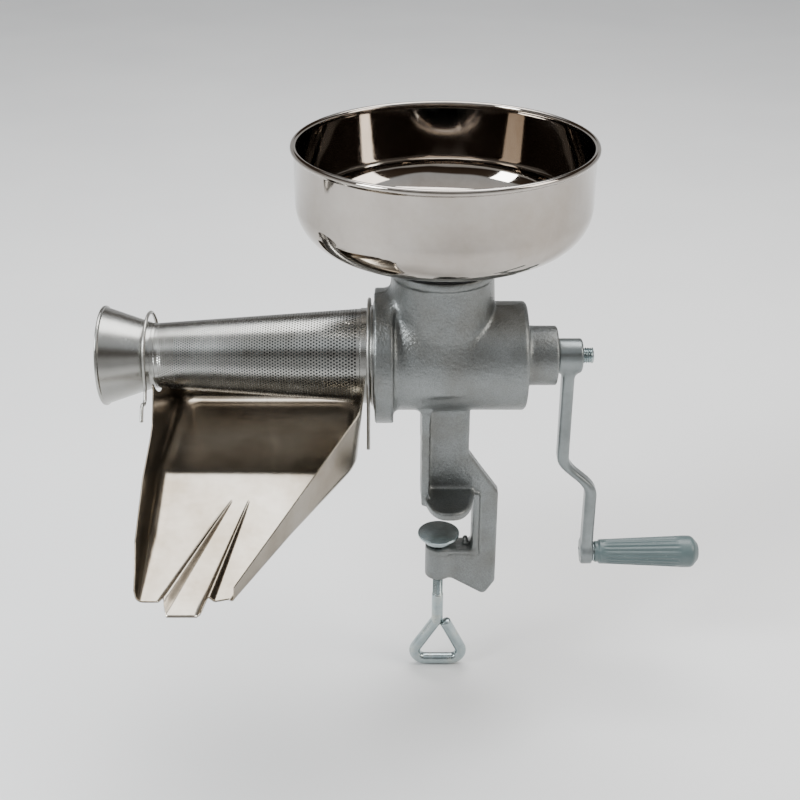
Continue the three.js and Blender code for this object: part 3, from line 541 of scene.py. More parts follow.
def wire_finish():
    """Drawn spring wire: grey, satin, with lengthwise drawing marks."""
    finish = Finish("spring_wire")
    marks = finish.noise(1200, 3.0, 0.7)
    stain = finish.noise(70, 3.0, 0.6, seed=3.0)
    colour = finish.ramp(stain, (0.3, (0.30, 0.29, 0.26)), (0.7, (0.50, 0.50, 0.48)))
    return finish.set(
        Base_Color=colour, Metallic=1.0, Roughness=0.26 + stain * 0.16,
        Normal=finish.bump(marks, 0.00006, 0.5))


def grey_plastic_finish(name, dark, light, rough):
    """Blue-grey moulded plastic with a satin skin, faint flow marks and scuffs that look paler."""
    finish = Finish(name)
    skin = finish.noise(2200, 2.0, 0.6)
    flow = finish.noise(24, 3.0, 0.55, stretch=(0.5, 1.0, 1.0))
    scuffs = finish.noise(260, 5.0, 0.75, seed=6.0).between(0.60, 0.72)
    colour = finish.mix(scuffs * 0.25, finish.ramp(flow, (0.3, dark), (0.7, light)), (0.36, 0.41, 0.41))
    return finish.set(
        Base_Color=colour, Roughness=rough + scuffs * 0.15 + skin * 0.06, Coat_Weight=0.08 + flow * 0.05,
        Normal=finish.bump(skin * 0.25 + flow, 0.00012, 0.45))


def nylon_finish():
    """Natural nylon, cream and slightly clear, yellower where it was thicker in the mould."""
    finish = Finish("nylon")
    cloud = finish.noise(45, 3.0, 0.5)
    skin = finish.noise(1800, 2.0, 0.6, seed=1.0)
    colour = finish.ramp(cloud, (0.3, (0.78, 0.68, 0.38)), (0.7, (0.84, 0.78, 0.55)))
    finish.shader.inputs["Subsurface Weight"].default_value = 0.15
    finish.shader.inputs["Subsurface Radius"].default_value = (0.004, 0.003, 0.0015)
    return finish.set(
        Base_Color=colour, Roughness=0.38 + cloud * 0.12, Normal=finish.bump(skin * 0.5 + cloud, 0.0001, 0.4))


def rubber_finish():
    """Black rubber seal, matt, with a light bloom."""
    finish = Finish("black_rubber")
    bloom = finish.noise(80, 4.0, 0.6)
    skin = finish.noise(1500, 2.0, 0.6, seed=1.0)
    colour = finish.ramp(bloom, (0.35, (0.010, 0.010, 0.011)), (0.75, (0.035, 0.035, 0.036)))
    return finish.set(
        Base_Color=colour, Roughness=0.5 + bloom * 0.2, Normal=finish.bump(skin, 0.0001, 0.4))


CAST = cast_silver_finish()
CRANK = crank_silver_finish()
# Painted reflection: the tray's dark warm browns stand for the dim brown room mirrored in the polished sheet.
TRAY = sheet_finish("tray_stainless", (0.235, 0.200, 0.155), (0.36, 0.33, 0.285), 0.14)
SIEVE = sheet_finish("sieve_stainless", (0.29, 0.285, 0.265), (0.40, 0.40, 0.385), 0.18)
MIRROR = mirror_finish()
ZINC = zinc_finish()
WIRE = wire_finish()
AUGER = grey_plastic_finish("auger_plastic", (0.085, 0.116, 0.118), (0.115, 0.150, 0.151), 0.30)
GRIP = grey_plastic_finish("grip_plastic", (0.072, 0.102, 0.104), (0.098, 0.134, 0.136), 0.34)
NYLON = nylon_finish()
RUBBER = rubber_finish()


# ---------------------------------------------------------------- body casting
JAW_FRONT = -17
JAW_WIDTH = 50
SPINE_IN = 31
SPINE_OUT = 54
LEG_REAR = 26
BOSS_TOP = -57
BOSS_LOW = -91
BOSS_R = 12.5
BARREL_FOOT = AXIS - BARREL_R + 6
LEG_HALF = 6.5
SPINE_HALF = 11.5
JAW_THICK = 8
RIB_HALF, RIB_EDGE = 2.2, 1.3
STUB_R = 2.4
PARTING_DEPTH, PARTING_WIDTH = 0.45, 1.4


def jaw_outline():
    """A leaf: a superellipse, whose power of about 2.6 makes it fuller than an ellipse."""
    angle = np.arange(64) * TURN / 64
    power = 2 / 2.6
    front, back = JAW_FRONT + 2.5, SPINE_IN
    c, s = np.cos(angle), np.sin(angle)
    x = (front + back) / 2 + (back - front) / 2 * np.sign(c) * np.abs(c) ** power
    return np.stack([x, JAW_WIDTH * np.sign(s) * np.abs(s) ** power], 1)


def clamp_outline():
    """Leg, spine and lower arm of the clamp, seen from the side, in X and Z."""
    return rounded([
        (JAW_FRONT + 1, BARREL_FOOT, 0), (JAW_FRONT + 1, 2, 3), (SPINE_IN, 2, 3), (SPINE_IN, BOSS_TOP, 7),
        (6, BOSS_TOP, 2), (6, BOSS_LOW + 2, 2), (BOSS_R, BOSS_LOW - 2, 3), (SPINE_OUT - 10, body_low[2], 5),
        (SPINE_OUT, body_low[2] + 16, 5), (SPINE_OUT, 3, 4), (SPINE_OUT - 16, 26, 20), (LEG_REAR, 44, 8),
        (LEG_REAR, BARREL_FOOT, 0)], closed=True, steps=4)


def rectangle(half, low, high):
    """Corners of a rectangle that reaches half to each side, from low to high."""
    return np.array([[-half, low], [half, low], [half, high], [-half, high]])


def barrel_field(x, y, z, from_axis, from_screw):
    """Barrel, flange, throat with its rim band, and hub."""
    barrel = bar_field(from_axis, x, BARREL_R, FLANGE_FACE, BARREL_REAR, 4)
    flange = bar_field(from_axis, x, FLANGE_R, FLANGE_FACE, FLANGE_BACK, 1.6)
    hub = bar_field(from_axis, x, HUB_R, BARREL_REAR - 12, HUB_END, 2)
    height = np.clip((z - AXIS) / (THROAT_RIM - AXIS), 0, 1)
    oval = np.hypot(x * (1 - 0.05 * (1 - height)), y)
    taper = THROAT_R + 3.2 * (1 - height) ** 2
    throat = bar_field(oval - (taper - THROAT_R), z, THROAT_R, AXIS - 15, THROAT_RIM, 1.5)
    band = bar_field(from_screw, z, THROAT_R + 2.5, THROAT_RIM - 7, THROAT_RIM, 1.6)
    shape = blend_union(barrel, flange, 6)
    shape = blend_union(shape, throat, 8 - 4.5 * np.clip(x / 30, -1, 1))
    shape = blend_union(shape, band, 2.5)
    return blend_union(shape, hub, 6)


def clamp_field(x, y, z, from_screw):
    """Leg with its cross rib, leaf-shaped jaw, spine, lower arm, boss and the stub in the corner."""
    leg = plate_field(x, z, y, clamp_outline(), -LEG_HALF, LEG_HALF, 2.5)
    rib_reach = 24 + 6 * np.clip(z / BARREL_FOOT, 0, 1) ** 2
    rib = np.maximum(
        np.maximum(np.abs(x - (JAW_FRONT + 3.5)) - RIB_HALF, np.abs(y) - rib_reach + RIB_EDGE),
        np.maximum(1.5 - z, z - BARREL_FOOT)) - RIB_EDGE
    jaw = plate_field(x, y, z, jaw_outline(), 0, JAW_THICK, 2.4)
    spine = plate_field(y, z, x, rectangle(SPINE_HALF, BOSS_TOP - 6, 4), SPINE_IN, SPINE_IN + 6, 2.2)
    arm = plate_field(y, x, z, rectangle(SPINE_HALF, 2, SPINE_IN + 5), BOSS_TOP - 6, BOSS_TOP, 2.2)
    boss = bar_field(from_screw, z, BOSS_R, BOSS_LOW, BOSS_TOP, 1.8)
    clamp = blend_union(leg, rib, 5)
    clamp = blend_union(clamp, jaw, 4)
    clamp = blend_union(clamp, blend_union(spine, arm, 5), 3.5)
    clamp = blend_union(clamp, boss, 4.5)
    stub = bar_field(np.hypot(x - SPINE_IN + 6, y), z, STUB_R, BOSS_TOP - 4, BOSS_TOP + 9, 2.2)
    return blend_union(clamp, stub, 2)


def casting_field(x, y, z):
    """Barrel and clamp run together with fillets, a parting line raised along Y = 0, then the bores."""
    from_axis = np.hypot(y, z - AXIS)
    from_screw = np.hypot(x, y)
    shape = blend_union(barrel_field(x, y, z, from_axis, from_screw), clamp_field(x, y, z, from_screw), 8)
    parting = PARTING_DEPTH * np.exp(-(y / PARTING_WIDTH) ** 2)
    shape = shape - parting * (from_axis > 30) * (np.abs(x) < 62) * (z > 60)
    chamber = bar_field(from_axis, x, CHAMBER_R, FLANGE_FACE - 20, BARREL_REAR - 7, 1)
    mouth = bar_field(from_screw, z, THROAT_BORE, AXIS, THROAT_RIM + 20, 1)
    shaft_bore = bar_field(from_axis, x, SHAFT_BORE, 0, HUB_END + 20, 0.5)
    screw_bore = bar_field(from_screw, z, SCREW_R + 0.4, BOSS_LOW - 20, BOSS_TOP + 20, 0.3)
    hollow = blend_union(chamber, mouth, 3)
    shape = blend_cut(shape, hollow, 1.6)
    shape = blend_cut(shape, shaft_bore, 1.2)
    return blend_cut(shape, screw_bore, 1.2)


def body_casting():
    """The whole casting, meshed from its distance field."""
    part = cast_surface(casting_field, body_low, body_high, 1.5)
    return build("body_cast", [part], CAST, "body", "body_casting", sharp=50)


# ---------------------------------------------------------------- strainer
SCREEN_BASE = screen_high[0]
SCREEN_END = screen_low[0]
BASE_R = screen_high[1] - SHEET
NECK_R = 27.5
HOLE_COLUMNS = 84
SEAM_COLUMNS = 2
MARGIN = 2.5


def cone_radius(along):
    """The strainer's inner radius, which grows in proportion from its neck to its base."""
    return NECK_R + (BASE_R - NECK_R) * (along - SCREEN_END) / (SCREEN_BASE - SCREEN_END)


def strainer_screen():
    """A cone of sheet with staggered holes, made as two pieces that meet between two rows.

    The holes lie on a flat grid of bricks whose rows shrink with the cone's radius, so each
    brick keeps its shape. A brick has six points on its edge and six round its hole, and
    faces between them on the outside, on the inside and through the sheet.
    """
    pitch = TURN / HOLE_COLUMNS
    slope = (BASE_R - NECK_R) / (SCREEN_BASE - SCREEN_END)
    start, end = cone_radius(SCREEN_END + MARGIN), cone_radius(SCREEN_BASE - MARGIN)
    length = math.log(end / start) / slope
    rows = int(round(length / (pitch * 0.866)))
    row_height = length / rows
    row, column = np.meshgrid(np.arange(rows), np.arange(HOLE_COLUMNS), indexing="ij")
    centre_a = (column + 0.5 * (row % 2)) * pitch
    centre_w = (row + 0.5) * row_height
    edge_a = np.array([-0.5, 0, 0.5, 0.5, 0, -0.5]) * pitch
    edge_w = np.array([-0.5, -0.5, -0.5, 0.5, 0.5, 0.5]) * row_height
    hole = np.radians([-150, -90, -30, 30, 90, 150])
    hole_r = 0.31 * pitch

    def on_cone(a, w, inset):
        """The grid's angle a and height w on the cone: the radius grows by e to the slope times w."""
        radius = start * np.exp(slope * w)
        along = SCREEN_END + (radius - NECK_R) / slope
        return about_axis(radius + SHEET - inset, along, a, *AUGER_AXIS)

    rings = []
    for inset in (0, SHEET):
        for a, w in ((edge_a, edge_w), (hole_r * np.cos(hole), hole_r * np.sin(hole))):
            rings.append(on_cone(centre_a[..., None] + a, centre_w[..., None] + w, inset))
    points = np.stack(rings, 2).reshape(-1, 3)
    brick_points = 24
    first = (np.arange(rows * HOLE_COLUMNS) * brick_points)[:, None, None]
    near_tip = row.ravel() < rows // 2
    k = np.arange(6)
    k2 = (k + 1) % 6
    outside = np.stack([k, k2, 6 + k2, 6 + k], 1)
    through = np.stack([6 + k, 6 + k2, 18 + k2, 18 + k], 1)
    inside = np.stack([12 + k, 18 + k, 18 + k2, 12 + k2], 1)
    tile = np.concatenate([outside, through, inside])
    plain = column.ravel() < SEAM_COLUMNS
    solid_tile = np.stack([k, 12 + k[::-1]])

    def bricks(chosen):
        """The chosen bricks: pierced, or plain along the seam, where the sheet is joined."""
        pierced = (first + tile[None])[chosen & ~plain].reshape(-1, 4)
        seam = (first + solid_tile[None])[chosen & plain].reshape(-1, 6)
        used = np.zeros(len(points), int)
        used[pierced] = used[seam] = 1
        number = np.cumsum(used) - 1
        return points[used > 0], [number[pierced], number[seam]]

    angle = np.arange(2 * HOLE_COLUMNS) * pitch / 2

    def band(low, high, end_row):
        """Plain sheet past the holes: outer line, rim and inner line, open towards the holes."""
        ends = [low, high] if end_row == "high" else [high, low]
        lines = [(ends[0], 0), (ends[1], 0), (ends[1], SHEET), (ends[0], SHEET)]
        along = np.array([line[0] for line in lines])[:, None]
        radius = cone_radius(along) + SHEET - np.array([line[1] for line in lines])[:, None]
        return surface(about_axis(radius, along, angle[None], *AUGER_AXIS), wrap_columns=True)

    base = [bricks(~near_tip), band(SCREEN_BASE - MARGIN, SCREEN_BASE, "high")]
    tip = [bricks(near_tip), band(SCREEN_END, SCREEN_END + MARGIN, "low")]
    for name, shell in (("sieve_screen_base", base), ("sieve_screen_tip", tip)):
        build(name, shell, SIEVE, "strainer", "strainer_screen", sharp=40, closed=False)


def strainer_collar():
    """A ring round the cone's base that slips into the flange, with a bead that stops against it."""
    low, high = collar_low[0], collar_high[0]
    bead_back = FLANGE_FACE - GAP
    bead_front = bead_back - 3
    slip = CHAMBER_R - 0.5
    bead = collar_high[1]
    profile = rounded([
        (BASE_R + GAP, low, 0.3), (slip, low, 0.4), (slip, bead_front, 0.8), (bead, bead_front, 1.2),
        (bead, bead_back, 1.2), (slip, bead_back, 0.5), (slip, high, 0.4), (BASE_R + GAP, high, 0.3),
    ], closed=True)
    part = turned(profile, *AUGER_AXIS, 160, closed=True)
    return build("sieve_collar", [part], SIEVE, "strainer", "strainer_collar", sharp=60)


def strainer_funnel():
    """A cone that opens to a rolled rim, with a narrow turned-in band where it meets the screen."""
    start, end = funnel_high[0], funnel_low[0]
    rim = funnel_high[1]
    wall = rim - 1.4
    profile = rounded([
        (NECK_R, start, 0.3), (NECK_R + SHEET, start, 0.3), (NECK_R + SHEET, start - 4, 6),
        (wall, end + 3.0, 0.8), (rim, end + 2.6, 1.1), (rim, end, 1.2), (wall - SHEET, end, 1.0),
        (wall - SHEET, end + 3.2, 2), (NECK_R, start - 4.4, 6)], closed=True)
    part = turned(profile, *AUGER_AXIS, 160, closed=True)
    return build("sieve_funnel", [part], SIEVE, "strainer", "strainer_funnel", sharp=60)


# ---------------------------------------------------------------- auger
AUGER_TIP = auger_low[0]
AUGER_REAR = auger_high[0]
AUGER_CLEAR = 1.4
FIRST_PITCH = 17
LAST_PITCH = 46


def auger():
    """A left-hand screw whose pitch grows from the tip to the drive end.

    Turns run up by 1 / pitch for each millimetre. The flight's height over the core is a narrow
    rounded peak where the turns and the angle together make a whole number.
    """
    tip_plain, rear_plain = 20, 8
    along = np.linspace(AUGER_TIP + 1.2, AUGER_REAR - 0.8, 620)
    flights = (along - AUGER_TIP - tip_plain) / (AUGER_REAR - rear_plain - AUGER_TIP - tip_plain)
    share = np.clip(flights, 0, 1)
    pitch = FIRST_PITCH + (LAST_PITCH - FIRST_PITCH) * share ** 2.8
    rate = np.where(flights > 0, 1 / pitch, 0)
    turns = np.concatenate([[0], np.cumsum(np.diff(along) * (rate[1:] + rate[:-1]) / 2)])[:, None]
    sides = 108
    angle = (np.arange(sides) * TURN / sides)[None, :]
    phase = (turns + angle / TURN - 0.25) % 1 - 0.5
    distance = np.abs(phase) * pitch[:, None]
    thick = 1.35 + 0.9 * share[:, None]
    peak = 1 / (1 + (distance / thick) ** 6)
    foot = np.exp(-(distance / (2.4 * thick)) ** 2) * 0.28
    crest = peak + foot * (1 - peak)
    core = 24 + 4 * ((along - AUGER_TIP) / (AUGER_REAR - AUGER_TIP))[:, None]
    edge = np.minimum(cone_radius(along), BASE_R)[:, None] - AUGER_CLEAR
    in_run = np.clip((along - AUGER_TIP - tip_plain + 3) / 6, 0, 1)
    in_run = in_run * np.clip((AUGER_REAR - rear_plain - along) / 3, 0, 1)
    radius = core + (edge - core) * crest * in_run[:, None]
    outside = about_axis(radius, along[:, None], angle, *AUGER_AXIS)
    bore, socket = 17.5, 22
    floor = AUGER_REAR - 38
    bore_floor = floor - 26
    tip_r, rear_r = radius[0, 0], radius[-1, 0]
    tip_line = rounded([
        (0, bore_floor, 0), (bore, bore_floor, 2), (bore, AUGER_TIP, 0.8), (tip_r, AUGER_TIP, 0.9),
        (tip_r, along[0] + 0.01, 0)])
    rear_line = rounded([
        (rear_r, along[-1], 0), (rear_r, AUGER_REAR, 0.6), (socket, AUGER_REAR, 0.6), (socket, floor, 1),
        (0, floor, 0)])
    first = about_axis(tip_line[:, :1], tip_line[:, 1:], angle, *AUGER_AXIS)
    last = about_axis(rear_line[:, :1], rear_line[:, 1:], angle, *AUGER_AXIS)
    part = surface(np.concatenate([first, outside, last]), wrap_columns=True)
    return build("auger_screw", [part], AUGER, "screw", "auger", sharp=60)


# ---------------------------------------------------------------- drive
def drive_shaft():
    """Square end, plain shaft and threaded tip; the square meets the round shaft at a flat shoulder."""
    low, high = shaft_low[0], shaft_high[0]
    square_end = low + 20
    thread_start = HUB_END + 1
    angle = (np.arange(64) * TURN / 64)[None, :]
    along = np.array([low, low + 0.6, square_end - 1, square_end])[:, None]
    half = 6.5
    reach = half / np.maximum(np.abs(np.cos(angle)), np.abs(np.sin(angle)))
    square = np.minimum(reach, half * 1.34) * np.array([0.96, 1, 1, 1])[:, None]
    end = about_axis(np.zeros((1, 1)), np.array([[low]]), angle, *AUGER_AXIS)
    plain = rounded([(SHAFT_R, square_end, 0), (SHAFT_R, thread_start, 0.6), (0, thread_start, 0)])
    rows = [end, about_axis(square, along, angle, *AUGER_AXIS)]
    rows.append(about_axis(plain[:, :1], plain[:, 1:], angle, *AUGER_AXIS))
    shaft = surface(np.concatenate(rows), wrap_columns=True)
    tip = threaded(7, 0.9, 2.0, thread_start - 1, high - 0.7, *AUGER_AXIS)
    return build("shaft_steel", [shaft, tip], ZINC, "crank", "drive_shaft", sharp=40)


def thrust_bearing():
    """A nylon flange with a plain boss that the spring sits on."""
    low, high = bearing_low[0], bearing_high[0]
    face = high - 5
    profile = rounded([
        (SHAFT_BORE, low, 0.5), (15, low, 0.8), (15, face, 1.2), (27.2, face, 1.2),
        (bearing_high[1], face + 1.4, 0.8), (bearing_high[1], high, 1.0), (SHAFT_BORE, high, 0.5),
    ], closed=True)
    part = turned(profile, *AUGER_AXIS, 144, closed=True)
    return build("nylon_bearing", [part], NYLON, "crank", "thrust_bearing", sharp=45)


def thrust_spring():
    """A helix of round wire whose end turns lie closer together, by a sine along its length."""
    low, high = spring_low[0] + WIRE_R, spring_high[0] - WIRE_R
    coil_r, turns = 19, 4
    turn = np.linspace(0, turns, turns * 40 + 1)
    share = turn / turns
    eased = share - 0.09 * np.sin(TURN * share)
    across, up = -coil_r * np.cos(TURN * turn), coil_r * np.sin(TURN * turn)
    path = np.stack([high - (high - low) * eased, across, AXIS + up], 1)
    part = swept(path, WIRE_R, (1.0, 0.0, 0.0), 14)
    return build("coil_spring", [part], WIRE, "crank", "thrust_spring", sharp=60)


# ---------------------------------------------------------------- crank
CRANK_START = crank_low[0]
BOSS_LENGTH = 22
CRANK_MID = CRANK_START + BOSS_LENGTH / 2
CRANK_STEP = 28
END_Z = (grip_low[2] + grip_high[2]) / 2
REACH = AXIS - END_Z
ARM_X = CRANK_MID + CRANK_STEP
ARM_THICK, ARM_WIDE = 5.4, 9.4
BEND_START, BEND_LENGTH = 98, 45
GRIP_AXIS = ("x", (0, 0, END_Z))


def arm_line():
    """Centre of the arm in X and Z: straight down, then outwards over the bend, then straight down.

    The bend follows six fifth powers less fifteen fourth powers plus ten cubes of the way down it.
    """
    down = np.linspace(0, REACH, 60)
    share = np.clip((down - BEND_START) / BEND_LENGTH, 0, 1)
    eased = share ** 3 * (share * (share * 6 - 15) + 10)
    return CRANK_MID + CRANK_STEP * eased, AXIS - down


def crank_field(x, y, z):
    """Arm, shaft boss and grip boss run together, then bored."""
    centre, height = arm_line()
    outline = np.concatenate([
        np.stack([centre - ARM_THICK, height], 1), np.stack([centre + ARM_THICK, height], 1)[::-1]])
    from_axis, from_grip = np.hypot(y, z - AXIS), np.hypot(y, z - END_Z)
    reach = np.clip((AXIS - z) / REACH, 0, 1)
    half = ARM_WIDE - 1.6 * np.sin(math.pi * reach) ** 2
    arm = plate_field(x, z, y * ARM_WIDE / half, outline, -ARM_WIDE, ARM_WIDE, 4.6)
    boss = bar_field(from_axis, x, 15, CRANK_START, CRANK_START + BOSS_LENGTH, 2.2)
    end = bar_field(from_grip, x, 11.5, ARM_X - 5.5, ARM_X + 5.5, 1.8)
    shape = blend_union(arm, boss, 7)
    shape = blend_union(shape, end, 4)
    shape = np.maximum(shape, CRANK_START - x)
    thread = bar_field(from_axis, x, 7.3, CRANK_START - 10, CRANK_START + BOSS_LENGTH + 10, 0.3)
    bolt = bar_field(from_grip, x, BOLT_BORE, ARM_X - 20, ARM_X + 20, 0.3)
    return blend_cut(blend_cut(shape, thread, 1.4), bolt, 1.0)


def crank_arm():
    """The crank, meshed from its distance field."""
    part = cast_surface(crank_field, crank_low, crank_high, 1.0)
    return build("crank_lever", [part], CRANK, "crank", "crank_arm", sharp=50)


def grip():
    """A tapered handle with long flutes that run out before the collar and the domed end."""
    low, high = grip_low[0], grip_high[0]
    near, far = 11.5, grip_high[1]
    mouth, recess = 5.0, 6.8
    flutes, flute_depth, sides = 20, 0.85, 220
    outer = rounded([
        (near - 1.6, low, 0.6), (near - 1.6, low + 4, 0.5), (near, low + 4.6, 0.6), (far, high - 15, 20),
        (far, high - 6, 6), (far - 7, high, 2.5), (mouth, high, 0.8), (mouth, high - 2, 0.5),
        (recess, high - 3, 0.5), (recess, high - 12, 0.4), (BOLT_BORE, high - 12, 0.3), (BOLT_BORE, low, 0.3),
    ], closed=True, steps=8)
    dense = evened(np.concatenate([outer, outer[:1]]), 0.9)[:-1]
    angle = np.arange(sides) * TURN / sides
    along = dense[:, 1]
    on_outside = dense[:, 0] > 8.5
    run = np.clip((along - low - 8) / 5, 0, 1) * np.clip((high - 17 - along) / 6, 0, 1) * on_outside
    land = np.clip(np.abs(np.sin(flutes / 2 * angle)) * 1.5 - 0.55, 0, 1)
    radius = dense[:, :1] - flute_depth * (1 - land[None, :]) * run[:, None]
    points = about_axis(radius, along[:, None], angle[None], *GRIP_AXIS)
    part = surface(points, wrap_rows=True, wrap_columns=True)
    return build("handle_grip", [part], GRIP, "handle", "grip", sharp=60)


def grip_bolt():
    """A plain pin with a round head, dimpled in the middle, inside the grip."""
    low, high = bolt_low[0], bolt_high[0]
    head = bolt_high[1]
    profile = rounded([
        (0, low, 0), (4, low, 0.8), (4, high - 4, 0.2), (head, high - 4, 0.5), (head, high, 1.4),
        (2.2, high, 0.5), (1.8, high - 1.4, 0.3), (0, high - 1.4, 0)])
    part = turned(profile, *GRIP_AXIS, 64)
    return build("pivot_bolt", [part], ZINC, "crank", "grip_bolt", sharp=45)


def grip_washer():
    """A flat ring between the grip and the arm."""
    low, high, outer = washer_low[0], washer_high[0], 9
    profile = rounded([
        (BOLT_BORE, low, 0.3), (outer, low, 0.5), (outer, high, 0.5), (BOLT_BORE, high, 0.3)], closed=True)
    part = turned(profile, *GRIP_AXIS, 64, closed=True)
    return build("pivot_washer", [part], ZINC, "crank", "grip_washer", sharp=45)


# ---------------------------------------------------------------- hopper
def hopper_line(inset, outer_r):
    """Seat, cone, rounded shoulder and upright side of the bowl, moved in by inset."""
    slope = math.radians(22)
    seat, shoulder, side = 45.0, 35.0, 48.0
    bend = shoulder - inset
    centre_r = outer_r - shoulder
    centre_z = bowl_high[2] - side
    angle = np.linspace(slope, math.pi / 2, 26)
    arc = np.stack([centre_r + bend * np.sin(angle), centre_z - bend * np.cos(angle)], 1)
    foot = np.array([[seat - inset * 0.2, bowl_low[2] + inset]])
    return np.concatenate([foot, arc, [[outer_r - inset, bowl_high[2] - 6.5]]])


def hopper_bowl():
    """A spun bowl: one sheet from the neck hole to a rolled rim."""
    bead_r = 2.6
    outer_r = bowl_high[1] - bead_r
    low, high, thick = bowl_low[2], bowl_high[2], 1.0
    outer, inner = hopper_line(0, outer_r), hopper_line(thick, outer_r)
    angle = np.linspace(-1.25, 4.0, 22)
    bead = np.stack([outer_r + bead_r * np.cos(angle), high - bead_r + bead_r * np.sin(angle)], 1)
    profile = np.concatenate([[[NECK_HOLE, low]], outer, bead, inner[::-1], [[NECK_HOLE, low + thick]]])
    part = turned(profile, *UPRIGHT, 256, closed=True)
    return build("hopper_bowl_spun", [part], MIRROR, "hopper", "hopper_bowl", sharp=60)


def hopper_neck():
    """The tube that drops into the throat, with a rolled lip, a groove and a flange inside the bowl."""
    low, high = neck_low[2], neck_high[2]
    bore, tube, flange = 35.5, 36.5, neck_high[0]
    profile = rounded([
        (bore, low, 0.6), (36.6, low, 0.5), (37.3, low + 1.1, 1.0), (tube, low + 2.5, 1.0),
        (tube, low + 9, 0.4), (36.1, low + 10, 0.5), (tube, low + 11, 0.4), (tube, high - 1, 0.5),
        (flange, high - 1, 0.4), (flange, high, 0.4), (36.2, high, 1.6), (bore, high - 1.6, 1.0),
    ], closed=True)
    part = turned(profile, *UPRIGHT, 192, closed=True)
    return build("hopper_neck_tube", [part], MIRROR, "hopper", "hopper_neck", sharp=60)


def hopper_gasket():
    """A black sealing ring with three fine ridges round its edge."""
    low, high = gasket_low[2], gasket_high[2]
    outer = gasket_high[0]
    count = 25
    along = np.linspace(low + 0.2, high - 0.2, count)
    ridge = outer - 0.35 * np.abs(np.sin(np.linspace(0, 3 * math.pi, count))) ** 0.7
    profile = np.concatenate([
        [[NECK_HOLE, low], [outer - 0.5, low]], np.stack([ridge, along], 1),
        [[outer - 0.5, high], [NECK_HOLE, high]]])
    part = turned(profile, *UPRIGHT, 192, closed=True)
    return build("hopper_seal", [part], RUBBER, "hopper", "hopper_gasket", sharp=60)


# ---------------------------------------------------------------- clamp
def clamp_screw():
    """A rod with a rolled thread, bent round into a three-cornered loop whose end stops by the shank."""
    low, high = screw_low[2], screw_high[2]
    thread_low = -114
    half = screw_high[0] - ROD_R
    foot = low + ROD_R
    corner = half + 3.5
    path = rounded([
        (0, 0, thread_low - 1, 0), (0, 0, -145, 8), (-corner, 0, foot, 10), (corner, 0, foot, 10),
        (7.6, 0, -148.5, 0)], steps=12)
    rod = swept(evened(path, 1.6), ROD_R, (0.0, 1.0, 0.0), 28)
    thread = threaded(SCREW_R, 0.62, 1.5, thread_low, high - 0.8, *UPRIGHT, 40)
    return build("clamp_spindle", [rod, thread], ZINC, "clamp", "clamp_screw", sharp=50)


def clamp_pad():
    """A pressed dome with a flat flange and a raised rim, open below for the screw's end."""
    low, high = pad_low[2], pad_high[2]
    flange = pad_high[0]
    dome, socket, turn_in = 15.5, 5.3, 0.42
    angle = np.linspace(0.16, math.pi / 2 - 0.45, 14)
    out = dome * np.sin(angle + turn_in) / math.sin(angle[-1] + turn_in) * 0.985
    up = low + (high - 2.6 - low) * (1 - np.cos(angle)) / (1 - math.cos(angle[-1]))
    profile = np.concatenate([
        [[0, high - 3.0], [socket, high - 3.0], [socket, low + 0.4]], np.stack([out, up], 1),
        rounded([
            (dome, high - 2.4, 0.5), (flange - 1.8, high - 2.0, 0.4), (flange - 1.2, high - 2.5, 0.5),
            (flange, high - 2.5, 0.8), (flange, high, 0.8), (0, high, 0)])])
    profile = np.clip(profile, [0, low], [flange, high])
    part = turned(profile, *UPRIGHT, 128)
    return build("clamp_foot", [part], ZINC, "pad", "clamp_pad", sharp=45)


# ---------------------------------------------------------------- tray
TRAY_TOP = AXIS
FLOOR_Z = AXIS - 73
TRAY_LEFT = tray_low[0] + 1.2
TRAY_RIGHT = tray_high[0] - 1.2
TRAY_BACK = tray_high[1] - 1.2
FOLD_Y = -76.0
LIP_Y = tray_low[1] + 15
LIP_WIDTH = 76
LIP_DROP = 39
SIDE_LEAN = 8.0
BACK_LEAN = 17.0
TRAY_SHEET = 1.0
SPOUT = (-219, -185)
SPOUT_REACH = 13.5
LEFT_NOTCH = 31.5
RIGHT_NOTCH = 44.0
SIDE_ROWS, REAR_ROWS = 230, 80
ARC_STEPS, WALL_STEPS, HALF_FLOOR_STEPS = 9, 22, 44
RIDGE_LENGTH = 100
# Each ridge's middle at the lip and at its head, its height and its half width at the lip.
RIDGES = ((-217, -175, 5.5, 6.0), (-184, -161, 4.2, 3.8))


def ridge_at(ridge, y):
    """A ridge's middle and half width at the depth y: it leans and narrows away from the lip."""
    foot_x, head_x, wide = ridge[0], ridge[1], ridge[3]
    share = (y - LIP_Y) / RIDGE_LENGTH
    return foot_x + (head_x - foot_x) * share, wide * (1 - np.clip(share, 0, 1)) + 1.4


def floor_height(x, y):
    """Level floor, then a steady fall past the fold, with two ridges that open towards the spout.

    The fold is a soft corner, the logarithm of one plus an exponential. A ridge's height eases
    from its feet to its middle as three squares less two cubes, and dies out towards its head.
    """
    past = FOLD_Y - y
    soft = 1.2
    fall = soft * np.logaddexp(0, past / soft)
    z = FLOOR_Z - LIP_DROP / (FOLD_Y - LIP_Y) * fall
    reach = np.clip((y - LIP_Y) / RIDGE_LENGTH, 0, 1)
    for ridge in RIDGES:
        middle, half = ridge_at(ridge, y)
        shape = np.clip(1 - np.abs(x - middle) / half, 0, 1)
        z = z + ridge[2] * (1 - reach) ** 0.8 * (shape ** 2) * (3 - 2 * shape)
    return z


